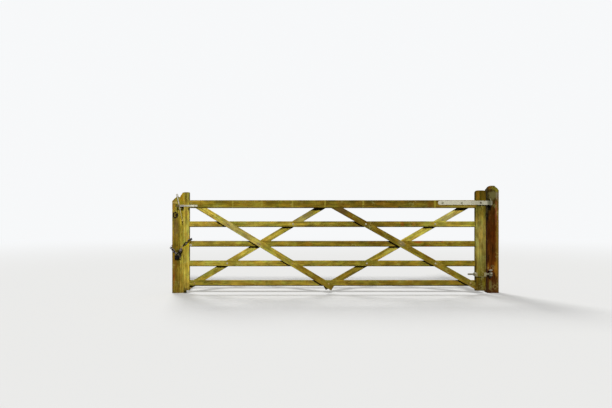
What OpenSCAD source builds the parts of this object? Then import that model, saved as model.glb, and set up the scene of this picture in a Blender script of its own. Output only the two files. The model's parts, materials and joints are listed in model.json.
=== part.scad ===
/* [Gate frame] */
// Width of the gate over both stiles
gate_w = 3660; // [3000:10:4200]
// Thickness of the stiles and the top rail
gate_t = 70; // [68:1:90]
// Gap between the hanging post and the heel stile
heel_gap = 35; // [30:1:60]
// Width of the heel stile
heel_w = 124; // [90:1:150]
// Height of the heel stile's foot above the ground
heel_foot = 36; // [20:1:60]
// Height of the heel stile's top above the ground
heel_top = 1250; // [1180:5:1400]
// Width of the closing stile
closing_w = 72; // [60:1:100]
// Height of the closing stile's foot above the ground
closing_foot = 42; // [20:1:60]
// Height of the closing stile's top above the ground
closing_top = 1228; // [1180:5:1350]
// Depth of the top rail
top_rail_w = 96; // [80:1:125]
// Height of the top rail's upper edge above the ground
top_rail_top = 1131; // [1120:1:1140]
// Thickness of the top rail's tenons
tenon_t = 24; // [18:1:30]
// Depth of the four lower rails
rail_w = 70; // [60:1:90]
// Thickness of the four lower rails
rail_t = 22; // [18:1:24]
// Height of the bottom rail's middle line above the ground
bottom_rail_z = 126; // [110:1:140]
// Spacing of the lower rails
rail_pitch = 238; // [225:1:242]
// Chamfer along the timber's arrises
arris = 3; // [1:0.5:5]

/* [Braces] */
// Width of the braces
brace_w = 72; // [60:1:85]
// Thickness of the braces
brace_t = 22; // [18:1:22]
// Distance from a stile to the middle of an outer brace's top
brace_inset = 145; // [120:5:200]
// Distance from the gate's middle line to the middle of an inner brace's top
brace_spread = 105; // [80:5:150]
// How far the middle braces run past the point where they cross
brace_tail = 58; // [40:1:60]
// How far the middle braces' meeting line lies from the gate's middle towards the closing stile
brace_shift = 45; // [0:5:80]
// Diameter of the brace bolts
brace_bolt_d = 10; // [8:1:12]
// Diameter of the washer on the third rail's bolt
rail_washer_d = 30; // [26:1:40]

/* [Posts] */
// Width of the hanging post
hang_w = 140; // [120:5:180]
// Depth of the hanging post
hang_d = 140; // [120:5:180]
// Height of the hanging post's peak
hang_h = 1310; // [1250:5:1450]
// Width of the slam post
slam_w = 90; // [80:1:140]
// Depth of the slam post
slam_d = 100; // [90:5:150]
// Height of the slam post's peak
slam_h = 1178; // [1160:1:1300]
// Gap between the closing stile and the slam post
slam_gap = 56; // [50:1:65]
// Width of the stop batten
batten_w = 76; // [70:1:80]
// Thickness of the stop batten
batten_t = 50; // [35:1:60]
// Height of the stop batten's point
batten_h = 1226; // [1180:1:1300]
// Clearance between the shut gate and the stop batten
stop_clear = 5; // [5:0.5:10]

/* [Hinges] */
// Diameter of the hook pins
pin_d = 19; // [16:1:22]
// Distance from the post's front face to the pins' middle line
pin_standoff = 30; // [28:1:45]
// Distance from the post's side face to the pins' middle line
pin_set_in = 32; // [26:1:40]
// Outside diameter of the hinge eyes
eye_d = 44; // [36:1:46]
// Width of the hinge strap
strap_w = 50; // [40:1:60]
// Thickness of the hinge strap
strap_t = 6; // [5:1:8]
// Length of the strap from its closed end
strap_l = 606; // [540:1:700]
// Height of the strap's middle line above the ground
strap_z = 1100; // [1090:1:1102]
// Diameter of the strap bolts
strap_bolt_d = 12; // [10:1:14]
// Clearance between the strap's closed end and the hanging post
strap_clear = 8; // [6:1:12]
// Diameter of the bottom eye bolt
eye_bolt_d = 20; // [16:1:22]
// Height of the bottom eye bolt above the ground
eye_bolt_z = 233; // [220:1:260]
// Length of the bottom eye bolt from the pin's middle line
eye_bolt_l = 277; // [250:1:320]
// Height of the bottom eye
eye_h = 40; // [30:1:50]
// Side of the square plates on the eye bolt
plate_w = 47; // [40:1:60]

/* [Latch] */
// Height of the lever's pivot above the ground
pivot_z = 885; // [860:5:900]
// Length of the lever from its pivot to the knob
lever_l = 311; // [290:1:340]
// Thickness of the lever
lever_t = 8; // [6:1:10]
// Width of the lever
lever_w = 25; // [20:1:30]
// Lean of the lever over the slam post
lever_lean = 12; // [10:0.5:14]
// Swing of the lever into its catch
lever_throw = 5; // [4:0.5:6]
// Diameter of the lever's knob
knob_d = 24; // [20:1:28]
// Length of the lever's knob
knob_l = 42; // [30:1:50]
// Height of the guide loop's middle line above the ground
guide_z = 1064; // [1055:1:1066]
// Width of the guide loop's bar
guide_w = 22; // [20:1:30]
// Length of the guide loop's arm along the gate
guide_arm = 174; // [140:1:220]
// Thickness of the guide loop's bar
guide_t = 5; // [4:1:6]

/* [Chain and padlock] */
// Wire diameter of the chain
wire_d = 8; // [7:0.5:8]
// Outside length of a link
link_l = 52; // [50:1:54]
// Outside width of a link
link_w = 28; // [27:1:28]
// Width of the padlock's body
lock_w = 50; // [40:1:55]
// Height of the padlock's body
lock_h = 46; // [40:1:50]
// Thickness of the padlock's body
lock_t = 28; // [20:1:32]

/* [Hidden] */
$fn = 48;
fit = 0.05; // radial clearance of an eye on its pin
seat = 0.3; // clearance of a piece in its housing or against its neighbour
bolt_clear = 0.5; // radial clearance of a bolt in its hole
play = 0.1; // radial clearance of a nut on its thread

// Places along the fence line, from the middle of the hanging post's foot
pin_x = -hang_w / 2 + pin_set_in;
front_y = -hang_d / 2;
mid_y = front_y - pin_standoff;
gate_x1 = -hang_w / 2 - heel_gap;
gate_x0 = gate_x1 - gate_w;
heel_x0 = gate_x1 - heel_w;
closing_x1 = gate_x0 + closing_w;
slam_x1 = gate_x0 - slam_gap;
slam_x0 = slam_x1 - slam_w;
slam_back = front_y + slam_d;
gate_front = mid_y - gate_t / 2;
gate_back = mid_y + gate_t / 2;
batten_y0 = gate_back + stop_clear;
batten_y1 = batten_y0 + batten_t;
batten_x1 = slam_x1 + batten_w;

// Heights of the rails, from the bottom rail up
top_rail_z0 = top_rail_top - top_rail_w;
rail_z = [for (i = [0:3]) bottom_rail_z + i * rail_pitch];
rail_front = mid_y - rail_t / 2;
rail_back = mid_y + rail_t / 2;

// Middle lines of the braces as [top x, foot x, foot z], all with their tops under the top rail
middle_x = (heel_x0 + closing_x1) / 2 - brace_shift;
cross_z = bottom_rail_z - rail_w * 0.4;
stile_foot_z = bottom_rail_z - rail_w / 2;
brace_lines = [
    [closing_x1 + brace_inset, middle_x, cross_z],
    [middle_x + brace_spread, heel_x0, stile_foot_z],
    [middle_x - brace_spread, closing_x1, stile_foot_z],
    [heel_x0 - brace_inset, middle_x, cross_z]
];
function brace_x_at(line, z) =
    line[0] + (line[1] - line[0]) * (top_rail_z0 - z) / (top_rail_z0 - line[2]);
function brace_slope(line) = (line[2] - top_rail_z0) / (line[1] - line[0]);
function cross_x(a, b) =
    (brace_slope(a) * a[0] - brace_slope(b) * b[0]) / (brace_slope(a) - brace_slope(b));

// Brace bolts as [x, z, face under the head, face under the washer]
brace_front = rail_front - brace_t;
brace_back = rail_back + brace_t;
both_faces = [brace_front, brace_back];
function bolt_faces(i) = i < 2 ? [brace_front, rail_back] : [rail_front, brace_back];
function bolt_place(i, z) = concat([brace_x_at(brace_lines[i], z), z], bolt_faces(i));
brace_bolt_places = concat(
    [for (i = [0:3], z = [rail_z[3], rail_z[1]]) bolt_place(i, z)],
    [for (i = [1:2]) bolt_place(i, rail_z[0])],
    [for (i = [0:1]) concat([cross_x(brace_lines[i], brace_lines[i + 2]), rail_z[2]], both_faces)],
    [concat([middle_x, bottom_rail_z - rail_w / 8], both_faces)]
);
rail_bolt_x = closing_x1 + rail_washer_d / 2 + 1;
rail_bolt_z = rail_z[2] - 16;
rail_washer_t = 3;

// Hinges
strap_x1 = -hang_w / 2 - strap_clear;
strap_x0 = strap_x1 - strap_l;
strap_bolt_x = [strap_x0 + strap_l * 0.09, strap_x0 + strap_l * 0.475, (heel_x0 + gate_x1) / 2];
strap_corner = 12;
hook_bend = 15;
shank_in = 90;
collar_h = 5;
eye_z0 = eye_bolt_z - eye_h / 2;
bend_gap = 2;
top_bend_z = strap_z + strap_w / 2 + 6;
bottom_bend_z = eye_z0 - seat - collar_h - bend_gap;
top_pin_end = 19;
bottom_pin_end = 42;
plate_t = 5;
plate_leg = 22;
nut_h = 16;
nut_af = 30;

// Latch
pivot_x = gate_x0 - 12.5;
lever_y = mid_y - 10;
pivot_d = 8;
boss_r = 7;
knob_body = knob_l - knob_d;
ear_t = 5;
ear_gap = 1;
latch_clear = 5.5;
function lever_x_at(z, lean) = pivot_x - (z - pivot_z) * tan(lean);
function lever_left(z, lean) = lever_x_at(z, lean) - lever_t / 2 / cos(lean) - latch_clear;
catch_z = [1090, 1115];
catch_tip_x = lever_left(catch_z[1], lever_lean);
catch_arm_x = lever_left(catch_z[1], lever_lean + lever_throw);
catch_t = 6;
catch_y = lever_y - lever_w / 2 - 6;
guide_tip_x = lever_left(guide_z, lever_lean + lever_throw);
guide_x1 = gate_x0 + guide_arm;
guide_back_y = lever_y + lever_w / 2 + 8;
guide_bolt_x = [gate_x0 + closing_w * 0.47, gate_x0 + guide_arm - 36];
guide_bolt_d = 8;

// Ring and staple
ring_r = 30;
ring_wire = 9;
ring_x = slam_x0 + 41;
ring_z = 952;
ring_y = front_y - seat - ring_wire / 2;
staple_wire = 6;
staple_in = 30;
staple_r = ring_wire / 2 + seat + staple_wire / 2;
staple_y = ring_y - seat;
staple_z = ring_z + ring_r;

// Chain and padlock: each route guides a chain, keeping off flat wood by chain_lie and going round
// the wood's corners on arcs of turn_r
link_body = link_l - link_w;
link_arc = (link_w - wire_d) / 2;
link_hop = 2 * link_arc - wire_d - seat;
chain_lie = link_w / 2 + seat;
turn_r = 20;
lock_x = slam_x0 + 60;
lock_y = front_y - seat - max(lock_t, link_w) / 2;
lock_top = 460;
bow_r = 17;
bow_in = 18;
bow_centre = [lock_x, lock_y, 472];
bow_hop = bow_r + link_arc - wire_d - seat;
function turn_round(x, y, a0, a1, z0, z1) = [for (t = [0:0.25:1]) let (a = a0 + (a1 - a0) * t)
    [x + turn_r * cos(a), y + turn_r * sin(a), z0 + (z1 - z0) * t]];
post_route = concat(
    [bow_centre],
    turn_round(slam_x0, front_y, 265, 180, 542, 552),
    [[slam_x0 - chain_lie, (front_y + slam_back) / 2, 556]],
    turn_round(slam_x0, slam_back, 180, 90, 560, 564),
    [[(slam_x0 + slam_x1) / 2, slam_back + chain_lie, 567]],
    turn_round(slam_x1, slam_back, 90, 62, 572, 576),
    turn_round(batten_x1, batten_y1, 62, 43, 600, 604),
    [[closing_x1 - 8, gate_back + 42, 626]]
);
stile_route = concat(
    [[gate_x0 - 8, gate_front - chain_lie, 576], [closing_x1 - 26, gate_front - chain_lie, 622]],
    turn_round(closing_x1, gate_front, 275, 360, 646, 656),
    [[closing_x1 + chain_lie, mid_y, 657]],
    turn_round(closing_x1, gate_back, 0, 60, 656, 652),
    [[closing_x1 - 16, gate_back + 36, 648]]
);
lock_route = [bow_centre, [gate_x0 - 10, gate_front - 8, 560]];

// A sawn timber along X with its long arrises chamfered, its middle line on the X axis
module timber(l, w, t, cut = arris) {
    rotate([90, 0, 90]) linear_extrude(l) polygon([
        [-t / 2 + cut, -w / 2], [t / 2 - cut, -w / 2], [t / 2, -w / 2 + cut], [t / 2, w / 2 - cut],
        [t / 2 - cut, w / 2], [-t / 2 + cut, w / 2], [-t / 2, w / 2 - cut], [-t / 2, -w / 2 + cut]
    ]);
}

// An upright timber with its foot at z0 and one corner of its section at x0, y0
module upright(x0, y0, z0, w, d, h) {
    translate([x0 + w / 2, y0 + d / 2, z0]) rotate([0, -90, 0]) timber(h, w, d);
}

// An outline in X and Z made solid from y0 to y1
module from_front(y0, y1) {
    translate([0, y1, 0]) rotate([90, 0, 0]) linear_extrude(y1 - y0) children();
}

// An outline in Y and Z made solid from x0 to x1
module from_side(x0, x1) {
    translate([x0, 0, 0]) rotate([90, 0, 90]) linear_extrude(x1 - x0) children();
}

// A round bar along Y from y0 to y1
module bar_y(d, y0, y1) {
    translate([0, y0, 0]) rotate([-90, 0, 0]) cylinder(d = d, h = y1 - y0);
}

// A cup-headed bolt with its head on the face at y0, its washer and nut on the face at y1
module coach_bolt(d, y0, y1) {
    head_r = d * 1.1;
    head_h = d * 0.5;
    ball_r = (head_r * head_r + head_h * head_h) / (2 * head_h);
    difference() {
        translate([0, y0 - head_h + ball_r, 0]) sphere(r = ball_r);
        translate([-2 * ball_r, y0, -2 * ball_r]) cube(4 * ball_r);
    }
    bar_y(d, y0 - head_h / 2, y1 + d * 1.1);
    bar_y(d * 2.2, y1, y1 + 2);
    translate([0, y1 + 1, 0]) rotate([-90, 0, 0]) cylinder(d = d * 1.9, h = d * 0.8, $fn = 6);
}

// A hole along Y right through the gate
module gate_hole(x, z, d) {
    translate([x, 0, z]) bar_y(d, gate_front - 20, gate_back + 20);
}

module brace_bolt_holes() {
    for (b = brace_bolt_places) gate_hole(b[0], b[1], brace_bolt_d + 2 * bolt_clear);
}

module rail_bolt_hole() {
    gate_hole(rail_bolt_x, rail_bolt_z, brace_bolt_d + 2 * bolt_clear);
}

module strap_bolt_holes() {
    for (x = strap_bolt_x) gate_hole(x, strap_z, strap_bolt_d + 2 * bolt_clear);
}

module guide_bolt_holes() {
    for (x = guide_bolt_x) gate_hole(x, guide_z, guide_bolt_d + 2 * bolt_clear);
}

// The bar of a hook that stands or hangs on the pin line: pin, bend and shank into the post
module hook_bar(pin_l) {
    rotate([180, 0, 0]) cylinder(d = pin_d, h = pin_l);
    translate([0, hook_bend, 0]) rotate([90, 0, -90]) rotate_extrude(angle = 90)
        translate([hook_bend, 0]) circle(d = pin_d);
    translate([0, 0, hook_bend]) bar_y(pin_d, hook_bend, pin_standoff + shank_in);
}

// The top hook's bend lies above its pin, the bottom hook's bend below
module top_hook_place() {
    translate([pin_x, mid_y, top_bend_z]) children();
}

module bottom_hook_place() {
    translate([pin_x, mid_y, bottom_bend_z]) mirror([0, 0, 1]) children();
}

module shank_hole() {
    translate([0, 0, hook_bend]) bar_y(pin_d + 2 * seat, pin_standoff - 1, pin_standoff + shank_in + 1);
}

module hanging_post() {
    shoulder = hang_h - 62;
    color("saddlebrown") difference() {
        intersection() {
            upright(-hang_w / 2, -hang_d / 2, 0, hang_w, hang_d, hang_h);
            from_front(-hang_d / 2, hang_d / 2) polygon([
                [-hang_w / 2, 0], [hang_w / 2, 0], [hang_w / 2, shoulder + 10],
                [hang_w * 0.22, hang_h], [-hang_w * 0.1, hang_h],
                [-hang_w * 0.32, hang_h - 14], [-hang_w / 2, shoulder]
            ]);
            from_side(-hang_w / 2, hang_w / 2) polygon([
                [-hang_d / 2, 0], [hang_d / 2, 0], [hang_d / 2, shoulder + 12],
                [hang_d * 0.15, hang_h], [-hang_d * 0.05, hang_h], [-hang_d / 2, shoulder]
            ]);
        }
        top_hook_place() shank_hole();
        bottom_hook_place() shank_hole();
    }
}

module slam_post() {
    color("darkkhaki") difference() {
        intersection() {
            upright(slam_x0, front_y, 0, slam_w, slam_d, slam_h);
            from_front(front_y, slam_back) polygon([
                [slam_x0, 0], [slam_x1, 0], [slam_x1, slam_h - 20],
                [slam_x0 + slam_w * 0.65, slam_h], [slam_x0, slam_h - 56]
            ]);
        }
        staple_holes();
    }
}

module stop_batten() {
    color("goldenrod") intersection() {
        upright(slam_x1, batten_y0, 0, batten_w, batten_t, batten_h);
        from_front(batten_y0, batten_y1) polygon([
            [slam_x1, 0], [batten_x1, 0], [batten_x1, batten_h - 60],
            [slam_x1 + batten_w / 2, batten_h], [slam_x1, batten_h - 60]
        ]);
    }
}

module top_hook() {
    color("silver") top_hook_place() hook_bar(strap_w + top_pin_end);
}

module bottom_hook() {
    color("silver") bottom_hook_place() {
        hook_bar(eye_h + bottom_pin_end);
        translate([0, 0, -bend_gap - collar_h]) cylinder(d = pin_d + 15, h = collar_h);
        translate([0, 0, -eye_h - bottom_pin_end + 2]) cylinder(d = pin_d + 25, h = 2 * collar_h);
    }
}

module latch_catch() {
    color("silver") translate([0, 0, catch_z[0]]) linear_extrude(catch_z[1] - catch_z[0]) polygon([
        [slam_x0 + 9, front_y], [slam_x0 + 9, front_y - catch_t],
        [catch_arm_x - catch_t, front_y - catch_t], [catch_arm_x - catch_t, catch_y - catch_t],
        [catch_tip_x, catch_y - 1], [catch_tip_x, catch_y], [catch_arm_x, catch_y],
        [catch_arm_x, front_y]
    ]);
}

module post_ring() {
    color("dimgray") translate([ring_x, ring_y, ring_z]) rotate([90, 0, 0])
        rotate_extrude() translate([ring_r, 0]) circle(d = ring_wire);
}

// The staple's legs lie above and below the ring's wire
module staple_leg(d, deep) {
    for (side = [-1, 1]) translate([ring_x, 0, staple_z + side * staple_r])
        bar_y(d, staple_y, front_y + deep);
}

module staple_holes() {
    intersection() {
        staple_leg(staple_wire + 2 * play, staple_in + 1);
        translate([ring_x, front_y + 20, staple_z]) cube([40, 40, 60], center = true);
    }
}

module ring_staple() {
    color("dimgray") {
        staple_leg(staple_wire, staple_in);
        translate([ring_x, staple_y, staple_z]) rotate([0, 90, 0]) rotate([0, 0, 180])
            rotate_extrude(angle = 180) translate([staple_r, 0]) circle(d = staple_wire);
    }
}

// One link with its long axis along X and its flat in X and Y
module chain_link() {
    half = link_body / 2;
    for (side = [0, 180]) rotate([0, 0, side]) {
        translate([half, 0, 0]) rotate([0, 0, -90]) rotate_extrude(angle = 180)
            translate([link_arc, 0]) circle(d = wire_d);
        translate([-half, link_arc, 0]) rotate([0, 90, 0]) cylinder(d = wire_d, h = link_body);
    }
}

function unit(v) = v / norm(v);

// The stretch of a route, from stretch i on, where it gets far from a point, and the place there
function ahead(route, i, at, far) = i > len(route) - 2 ? undef : let (
    a = route[i] - at,
    b = route[i + 1] - route[i],
    half_b = (a * b) / (b * b),
    rest = half_b * half_b - (a * a - far * far) / (b * b)
) norm(route[i + 1] - at) < far ? ahead(route, i + 1, at, far)
    : [i, route[i] + b * (sqrt(rest) - half_b)];

// The links of a chain from stretch i of its route on, each as [middle, heading, normal of its flat].
// The wire the next one hangs on curves round end and lies square to normal: the link hangs there by
// hop, in that wire's plane, and swings out of the plane at its own curve
function links(route, i, end, normal, hop) = let (
    aim = ahead(route, i, end, hop + link_body)
) aim == undef ? [] : let (
    way = aim[1] - end,
    joint = unit(way - (way * normal) * normal),
    run = unit(way - hop * joint),
    start = end + hop * joint,
    flat = cross(normal, joint)
) concat([[start + link_body / 2 * run, run, flat]],
    links(route, aim[0], start + link_body * run, flat, link_hop));

module chain(links) {
    for (l = links) {
        bearing = atan2(l[1][1], l[1][0]);
        side = [-sin(bearing), cos(bearing), 0];
        translate(l[0]) rotate([0, -asin(l[1][2]), bearing])
            rotate([atan2(-l[2] * side, l[2] * cross(l[1], side)), 0, 0]) chain_link();
    }
}

post_links = links(post_route, 0, bow_centre, [0, 1, 0], bow_hop);
lock_links = links(lock_route, 0, bow_centre, [0, 1, 0], bow_hop);
stile_links = links(stile_route, 0, stile_route[0], [0, 1, 0], 0);

module post_chain() { color("dimgray") chain(post_links); }

module lock_chain() { color("dimgray") chain(lock_links); }

module stile_chain() { color("dimgray") chain(stile_links); }

module padlock_body() {
    color("darkslategray") difference() {
        translate([lock_x, lock_y, lock_top - lock_h]) linear_extrude(lock_h) intersection() {
            square([lock_w, lock_t], center = true);
            circle(d = lock_w * 1.06);
        }
        for (side = [-1, 1]) translate([lock_x + side * bow_r, lock_y, lock_top - bow_in - 2])
            cylinder(d = wire_d + 2 * seat, h = bow_in + 3);
    }
}

module padlock_shackle() {
    color("silver") {
        for (side = [-1, 1]) translate([lock_x + side * bow_r, lock_y, lock_top - bow_in])
            cylinder(d = wire_d, h = bow_centre[2] - lock_top + bow_in);
        translate(bow_centre) rotate([90, 0, 0]) rotate_extrude(angle = 180)
            translate([bow_r, 0]) circle(d = wire_d);
    }
}

// The mortices through a stile for the four lower rails
module rail_mortices(x0, x1) {
    for (z = rail_z) translate([x0 - 1, mid_y - rail_t / 2 - seat, z - rail_w / 2 - seat])
        cube([x1 - x0 + 2, rail_t + 2 * seat, rail_w + 2 * seat]);
    translate([x0 - 1, mid_y - tenon_t / 2 - seat, top_rail_z0 - seat])
        cube([x1 - x0 + 2, tenon_t + 2 * seat, top_rail_w + 2 * seat]);
}

// An outline with its two top corners rounded
module round_topped(w, h, r) {
    square([w, h - r]);
    translate([r, 0]) square([w - 2 * r, h]);
    for (x = [r, w - r]) translate([x, h - r]) circle(r = r);
}

module heel_stile() {
    h = heel_top - heel_foot;
    color("olive") difference() {
        intersection() {
            upright(heel_x0, gate_front, heel_foot, heel_w, gate_t, h);
            translate([heel_x0, 0, heel_foot]) from_front(gate_front, gate_back)
                round_topped(heel_w, h, 34);
        }
        rail_mortices(heel_x0, gate_x1);
        strap_bolt_holes();
        translate([heel_x0 - 1, mid_y, eye_bolt_z]) rotate([0, 90, 0])
            cylinder(d = eye_bolt_d + 2 * bolt_clear, h = heel_w + 2);
    }
}

module closing_stile() {
    h = closing_top - closing_foot;
    color("khaki") difference() {
        intersection() {
            upright(gate_x0, gate_front, closing_foot, closing_w, gate_t, h);
            translate([gate_x0, 0, closing_foot]) from_front(gate_front, gate_back)
                round_topped(closing_w, h, 14);
        }
        rail_mortices(gate_x0, closing_x1);
        guide_bolt_holes();
    }
}

module top_rail() {
    color("darkkhaki") difference() {
        translate([closing_x1, mid_y, top_rail_z0 + top_rail_w / 2]) union() {
            timber(heel_x0 - closing_x1, top_rail_w, gate_t);
            translate([-closing_w, 0, 0]) timber(gate_w, top_rail_w, tenon_t, 1);
        }
        strap_bolt_holes();
        guide_bolt_holes();
    }
}

// The lower rail of a given place, counted from the bottom
module lower_rail(i) {
    difference() {
        translate([gate_x0, mid_y, rail_z[i]]) timber(gate_w, rail_w, rail_t);
        brace_bolt_holes();
        rail_bolt_hole();
    }
}

module second_rail() { color("khaki") lower_rail(3); }

module third_rail() { color("khaki") lower_rail(2); }

module fourth_rail() { color("khaki") lower_rail(1); }

module bottom_rail() { color("khaki") lower_rail(0); }

module rail_bolt() {
    color("gainsboro") translate([rail_bolt_x, 0, rail_bolt_z]) {
        coach_bolt(brace_bolt_d, rail_front - rail_washer_t, rail_back);
        bar_y(rail_washer_d, rail_front - rail_washer_t, rail_front);
    }
}

// A brace along its middle line, cut level under the top rail and, at a stile, upright
module brace(line, y0, tail) {
    run = line[1] - line[0];
    drop = top_rail_z0 - line[2];
    l = norm([run, drop]);
    side = sign(run);
    difference() {
        intersection() {
            translate([line[0], y0 + brace_t / 2, top_rail_z0]) mirror([side < 0 ? 1 : 0, 0, 0])
                rotate([0, atan2(drop, abs(run)), 0]) translate([-brace_w, 0, 0])
                    timber(l + brace_w + tail, brace_w, brace_t);
            translate([closing_x1, y0, 0]) cube([heel_x0 - closing_x1, brace_t, top_rail_z0]);
        }
        brace_bolt_holes();
    }
}

module front_brace_latch_side() { color("burlywood") brace(brace_lines[0], brace_front, brace_tail); }

module front_brace_hinge_side() { color("burlywood") brace(brace_lines[1], brace_front, brace_w); }

module back_brace_latch_side() { color("tan") brace(brace_lines[2], rail_back, brace_w); }

module back_brace_hinge_side() { color("tan") brace(brace_lines[3], rail_back, brace_tail); }

module brace_bolts() {
    color("silver") for (b = brace_bolt_places) translate([b[0], 0, b[1]])
        coach_bolt(brace_bolt_d, b[2], b[3]);
}

// The strap's outline seen from above, with its closed end at strap_x1
module strap_outline(inset, r) {
    half = gate_t / 2 + strap_t - inset;
    x1 = strap_x1 - inset;
    translate([strap_x0, mid_y - half]) square([x1 - r - strap_x0, 2 * half]);
    translate([x1 - 2 * r, mid_y - half + r]) square([2 * r, 2 * (half - r)]);
    for (side = [-1, 1]) translate([x1 - r, mid_y + side * (half - r)]) circle(r = r);
}

module top_hinge_strap() {
    color("gainsboro") difference() {
        union() {
            intersection() {
                translate([0, 0, strap_z - strap_w / 2]) linear_extrude(strap_w) difference() {
                    strap_outline(0, strap_corner);
                    translate([-1, 0]) strap_outline(strap_t, strap_corner - strap_t);
                    translate([strap_x0 - 1, mid_y - gate_t / 2]) square([strap_w, gate_t]);
                }
                translate([strap_x0 + strap_w / 2, 0, strap_z])
                    from_front(gate_front - strap_t, gate_back + strap_t) {
                        circle(d = strap_w);
                        translate([0, -strap_w / 2]) square([strap_l, strap_w]);
                    }
            }
            translate([pin_x, mid_y, strap_z - strap_w / 2]) cylinder(d = eye_d, h = strap_w);
            translate([strap_x1 - strap_t / 2, mid_y - eye_d * 0.3, strap_z - strap_w / 2])
                cube([pin_x - strap_x1 + strap_t / 2, eye_d * 0.6, strap_w]);
        }
        translate([pin_x, mid_y, strap_z - strap_w]) cylinder(r = pin_d / 2 + fit, h = 2 * strap_w);
        strap_bolt_holes();
    }
}

module strap_bolts() {
    color("silver") for (x = strap_bolt_x) translate([x, 0, strap_z])
        coach_bolt(strap_bolt_d, gate_front - strap_t, gate_back + strap_t);
}

module bottom_eye_bolt() {
    color("silver") difference() {
        translate([pin_x, mid_y, eye_bolt_z]) {
            translate([0, 0, -eye_h / 2]) cylinder(d = eye_d, h = eye_h);
            rotate([0, -90, 0]) cylinder(d = eye_bolt_d, h = eye_bolt_l);
        }
        translate([pin_x, mid_y, eye_z0 - 1]) cylinder(r = pin_d / 2 + fit, h = eye_h + 2);
    }
}

// One bent plate round a corner of the heel stile, drawn at the heel stile's right side
module corner_plate() {
    difference() {
        translate([0, 0, -plate_w / 2]) linear_extrude(plate_w) {
            translate([0, -gate_t / 2 - plate_t]) square([plate_t, gate_t + plate_t - 10]);
            translate([-plate_leg, -gate_t / 2 - plate_t]) square([plate_leg + plate_t, plate_t]);
        }
        translate([-1, 0, 0]) rotate([0, 90, 0]) cylinder(d = eye_bolt_d + 2 * seat, h = plate_t + 2);
    }
}

module eye_bolt_plates() {
    color("gainsboro") {
        translate([gate_x1, mid_y, eye_bolt_z]) corner_plate();
        translate([heel_x0, mid_y, eye_bolt_z]) mirror([1, 0, 0]) corner_plate();
    }
}

module eye_bolt_nuts() {
    color("silver") for (x = [gate_x1 + plate_t, heel_x0 - plate_t - nut_h])
        translate([x, mid_y, eye_bolt_z]) rotate([0, 90, 0]) difference() {
            cylinder(d = nut_af / cos(30), h = nut_h, $fn = 6);
            translate([0, 0, -1]) cylinder(d = eye_bolt_d + 2 * play, h = nut_h + 2);
        }
}

module latch_bracket() {
    ear_y = lever_w / 2 + ear_gap;
    color("silver") difference() {
        union() {
            translate([gate_x0 - 3, lever_y - ear_y - ear_t, pivot_z - 40])
                cube([3, 2 * (ear_y + ear_t), 80]);
            for (y = [-ear_y - ear_t, ear_y]) translate([0, lever_y + y, 0]) {
                translate([pivot_x, 0, pivot_z]) bar_y(2 * boss_r, 0, ear_t);
                translate([pivot_x, 0, pivot_z - boss_r])
                    cube([gate_x0 - 2 - pivot_x, ear_t, 2 * boss_r]);
            }
        }
        translate([pivot_x, 0, pivot_z]) bar_y(pivot_d + 2 * fit, lever_y - 30, lever_y + 30);
    }
}

module latch_pin() {
    end_y = lever_w / 2 + ear_gap + ear_t;
    color("silver") translate([pivot_x, lever_y, pivot_z]) {
        bar_y(pivot_d, -end_y - 3, end_y + 3);
        bar_y(pivot_d + 5, -end_y - 3, -end_y);
        bar_y(pivot_d + 5, end_y, end_y + 3);
    }
}

module latch_lever() {
    color("gainsboro") translate([pivot_x, lever_y, pivot_z]) rotate([0, -lever_lean, 0]) difference() {
        union() {
            bar_y(2 * boss_r, -lever_w / 2, lever_w / 2);
            translate([-lever_t / 2, -lever_w / 2, 0])
                cube([lever_t, lever_w, lever_l - knob_l / 2 + knob_d / 4]);
            translate([0, 0, lever_l - knob_body / 2]) cylinder(d = knob_d, h = knob_body);
            for (end = [-1, 1]) translate([0, 0, lever_l + end * knob_body / 2]) sphere(d = knob_d);
        }
        bar_y(pivot_d + 2 * fit, -lever_w, lever_w);
    }
}

module guide_loop() {
    tip = guide_tip_x - guide_t;
    color("gainsboro") difference() {
        translate([0, 0, guide_z - guide_w / 2]) linear_extrude(guide_w) polygon([
            [guide_x1, gate_front - guide_t], [tip, gate_front - guide_t],
            [tip, guide_back_y + guide_t], [gate_x0 - guide_t, guide_back_y + guide_t],
            [gate_x0 - guide_t, gate_back - 4], [gate_x0, gate_back - 4],
            [gate_x0, guide_back_y], [guide_tip_x, guide_back_y],
            [guide_tip_x, gate_front], [guide_x1, gate_front]
        ]);
        guide_bolt_holes();
    }
}

module guide_bolts() {
    color("silver") for (x = guide_bolt_x) translate([x, 0, guide_z])
        coach_bolt(guide_bolt_d, gate_front - guide_t, gate_back);
}

hanging_post();
slam_post();
stop_batten();
top_hook();
bottom_hook();
latch_catch();
post_ring();
ring_staple();
post_chain();
lock_chain();
padlock_body();
padlock_shackle();
heel_stile();
closing_stile();
top_rail();
second_rail();
third_rail();
fourth_rail();
bottom_rail();
rail_bolt();
front_brace_latch_side();
front_brace_hinge_side();
back_brace_latch_side();
back_brace_hinge_side();
brace_bolts();
top_hinge_strap();
strap_bolts();
bottom_eye_bolt();
eye_bolt_plates();
eye_bolt_nuts();
latch_bracket();
latch_pin();
guide_loop();
guide_bolts();
stile_chain();
latch_lever();
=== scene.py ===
# %% [markdown]
# # A five-bar field gate, weathered outdoors
#
# This lesson dresses a gate that was already built as solids: two posts, the gate with its braces,
# its hinges, its latch and a padlocked chain. The solids give every size. Here the sawn timber gets
# its worn arrises, drying splits, grain and algae, and the ironwork its zinc, threads and rust.
# Everything is in metres, with the origin under the middle of the hanging post.

# %% Load the gate
import json
import math
import random

import bmesh
import bpy
from mathutils import Euler, Matrix, Vector, noise
from mathutils.bvhtree import BVHTree


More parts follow.
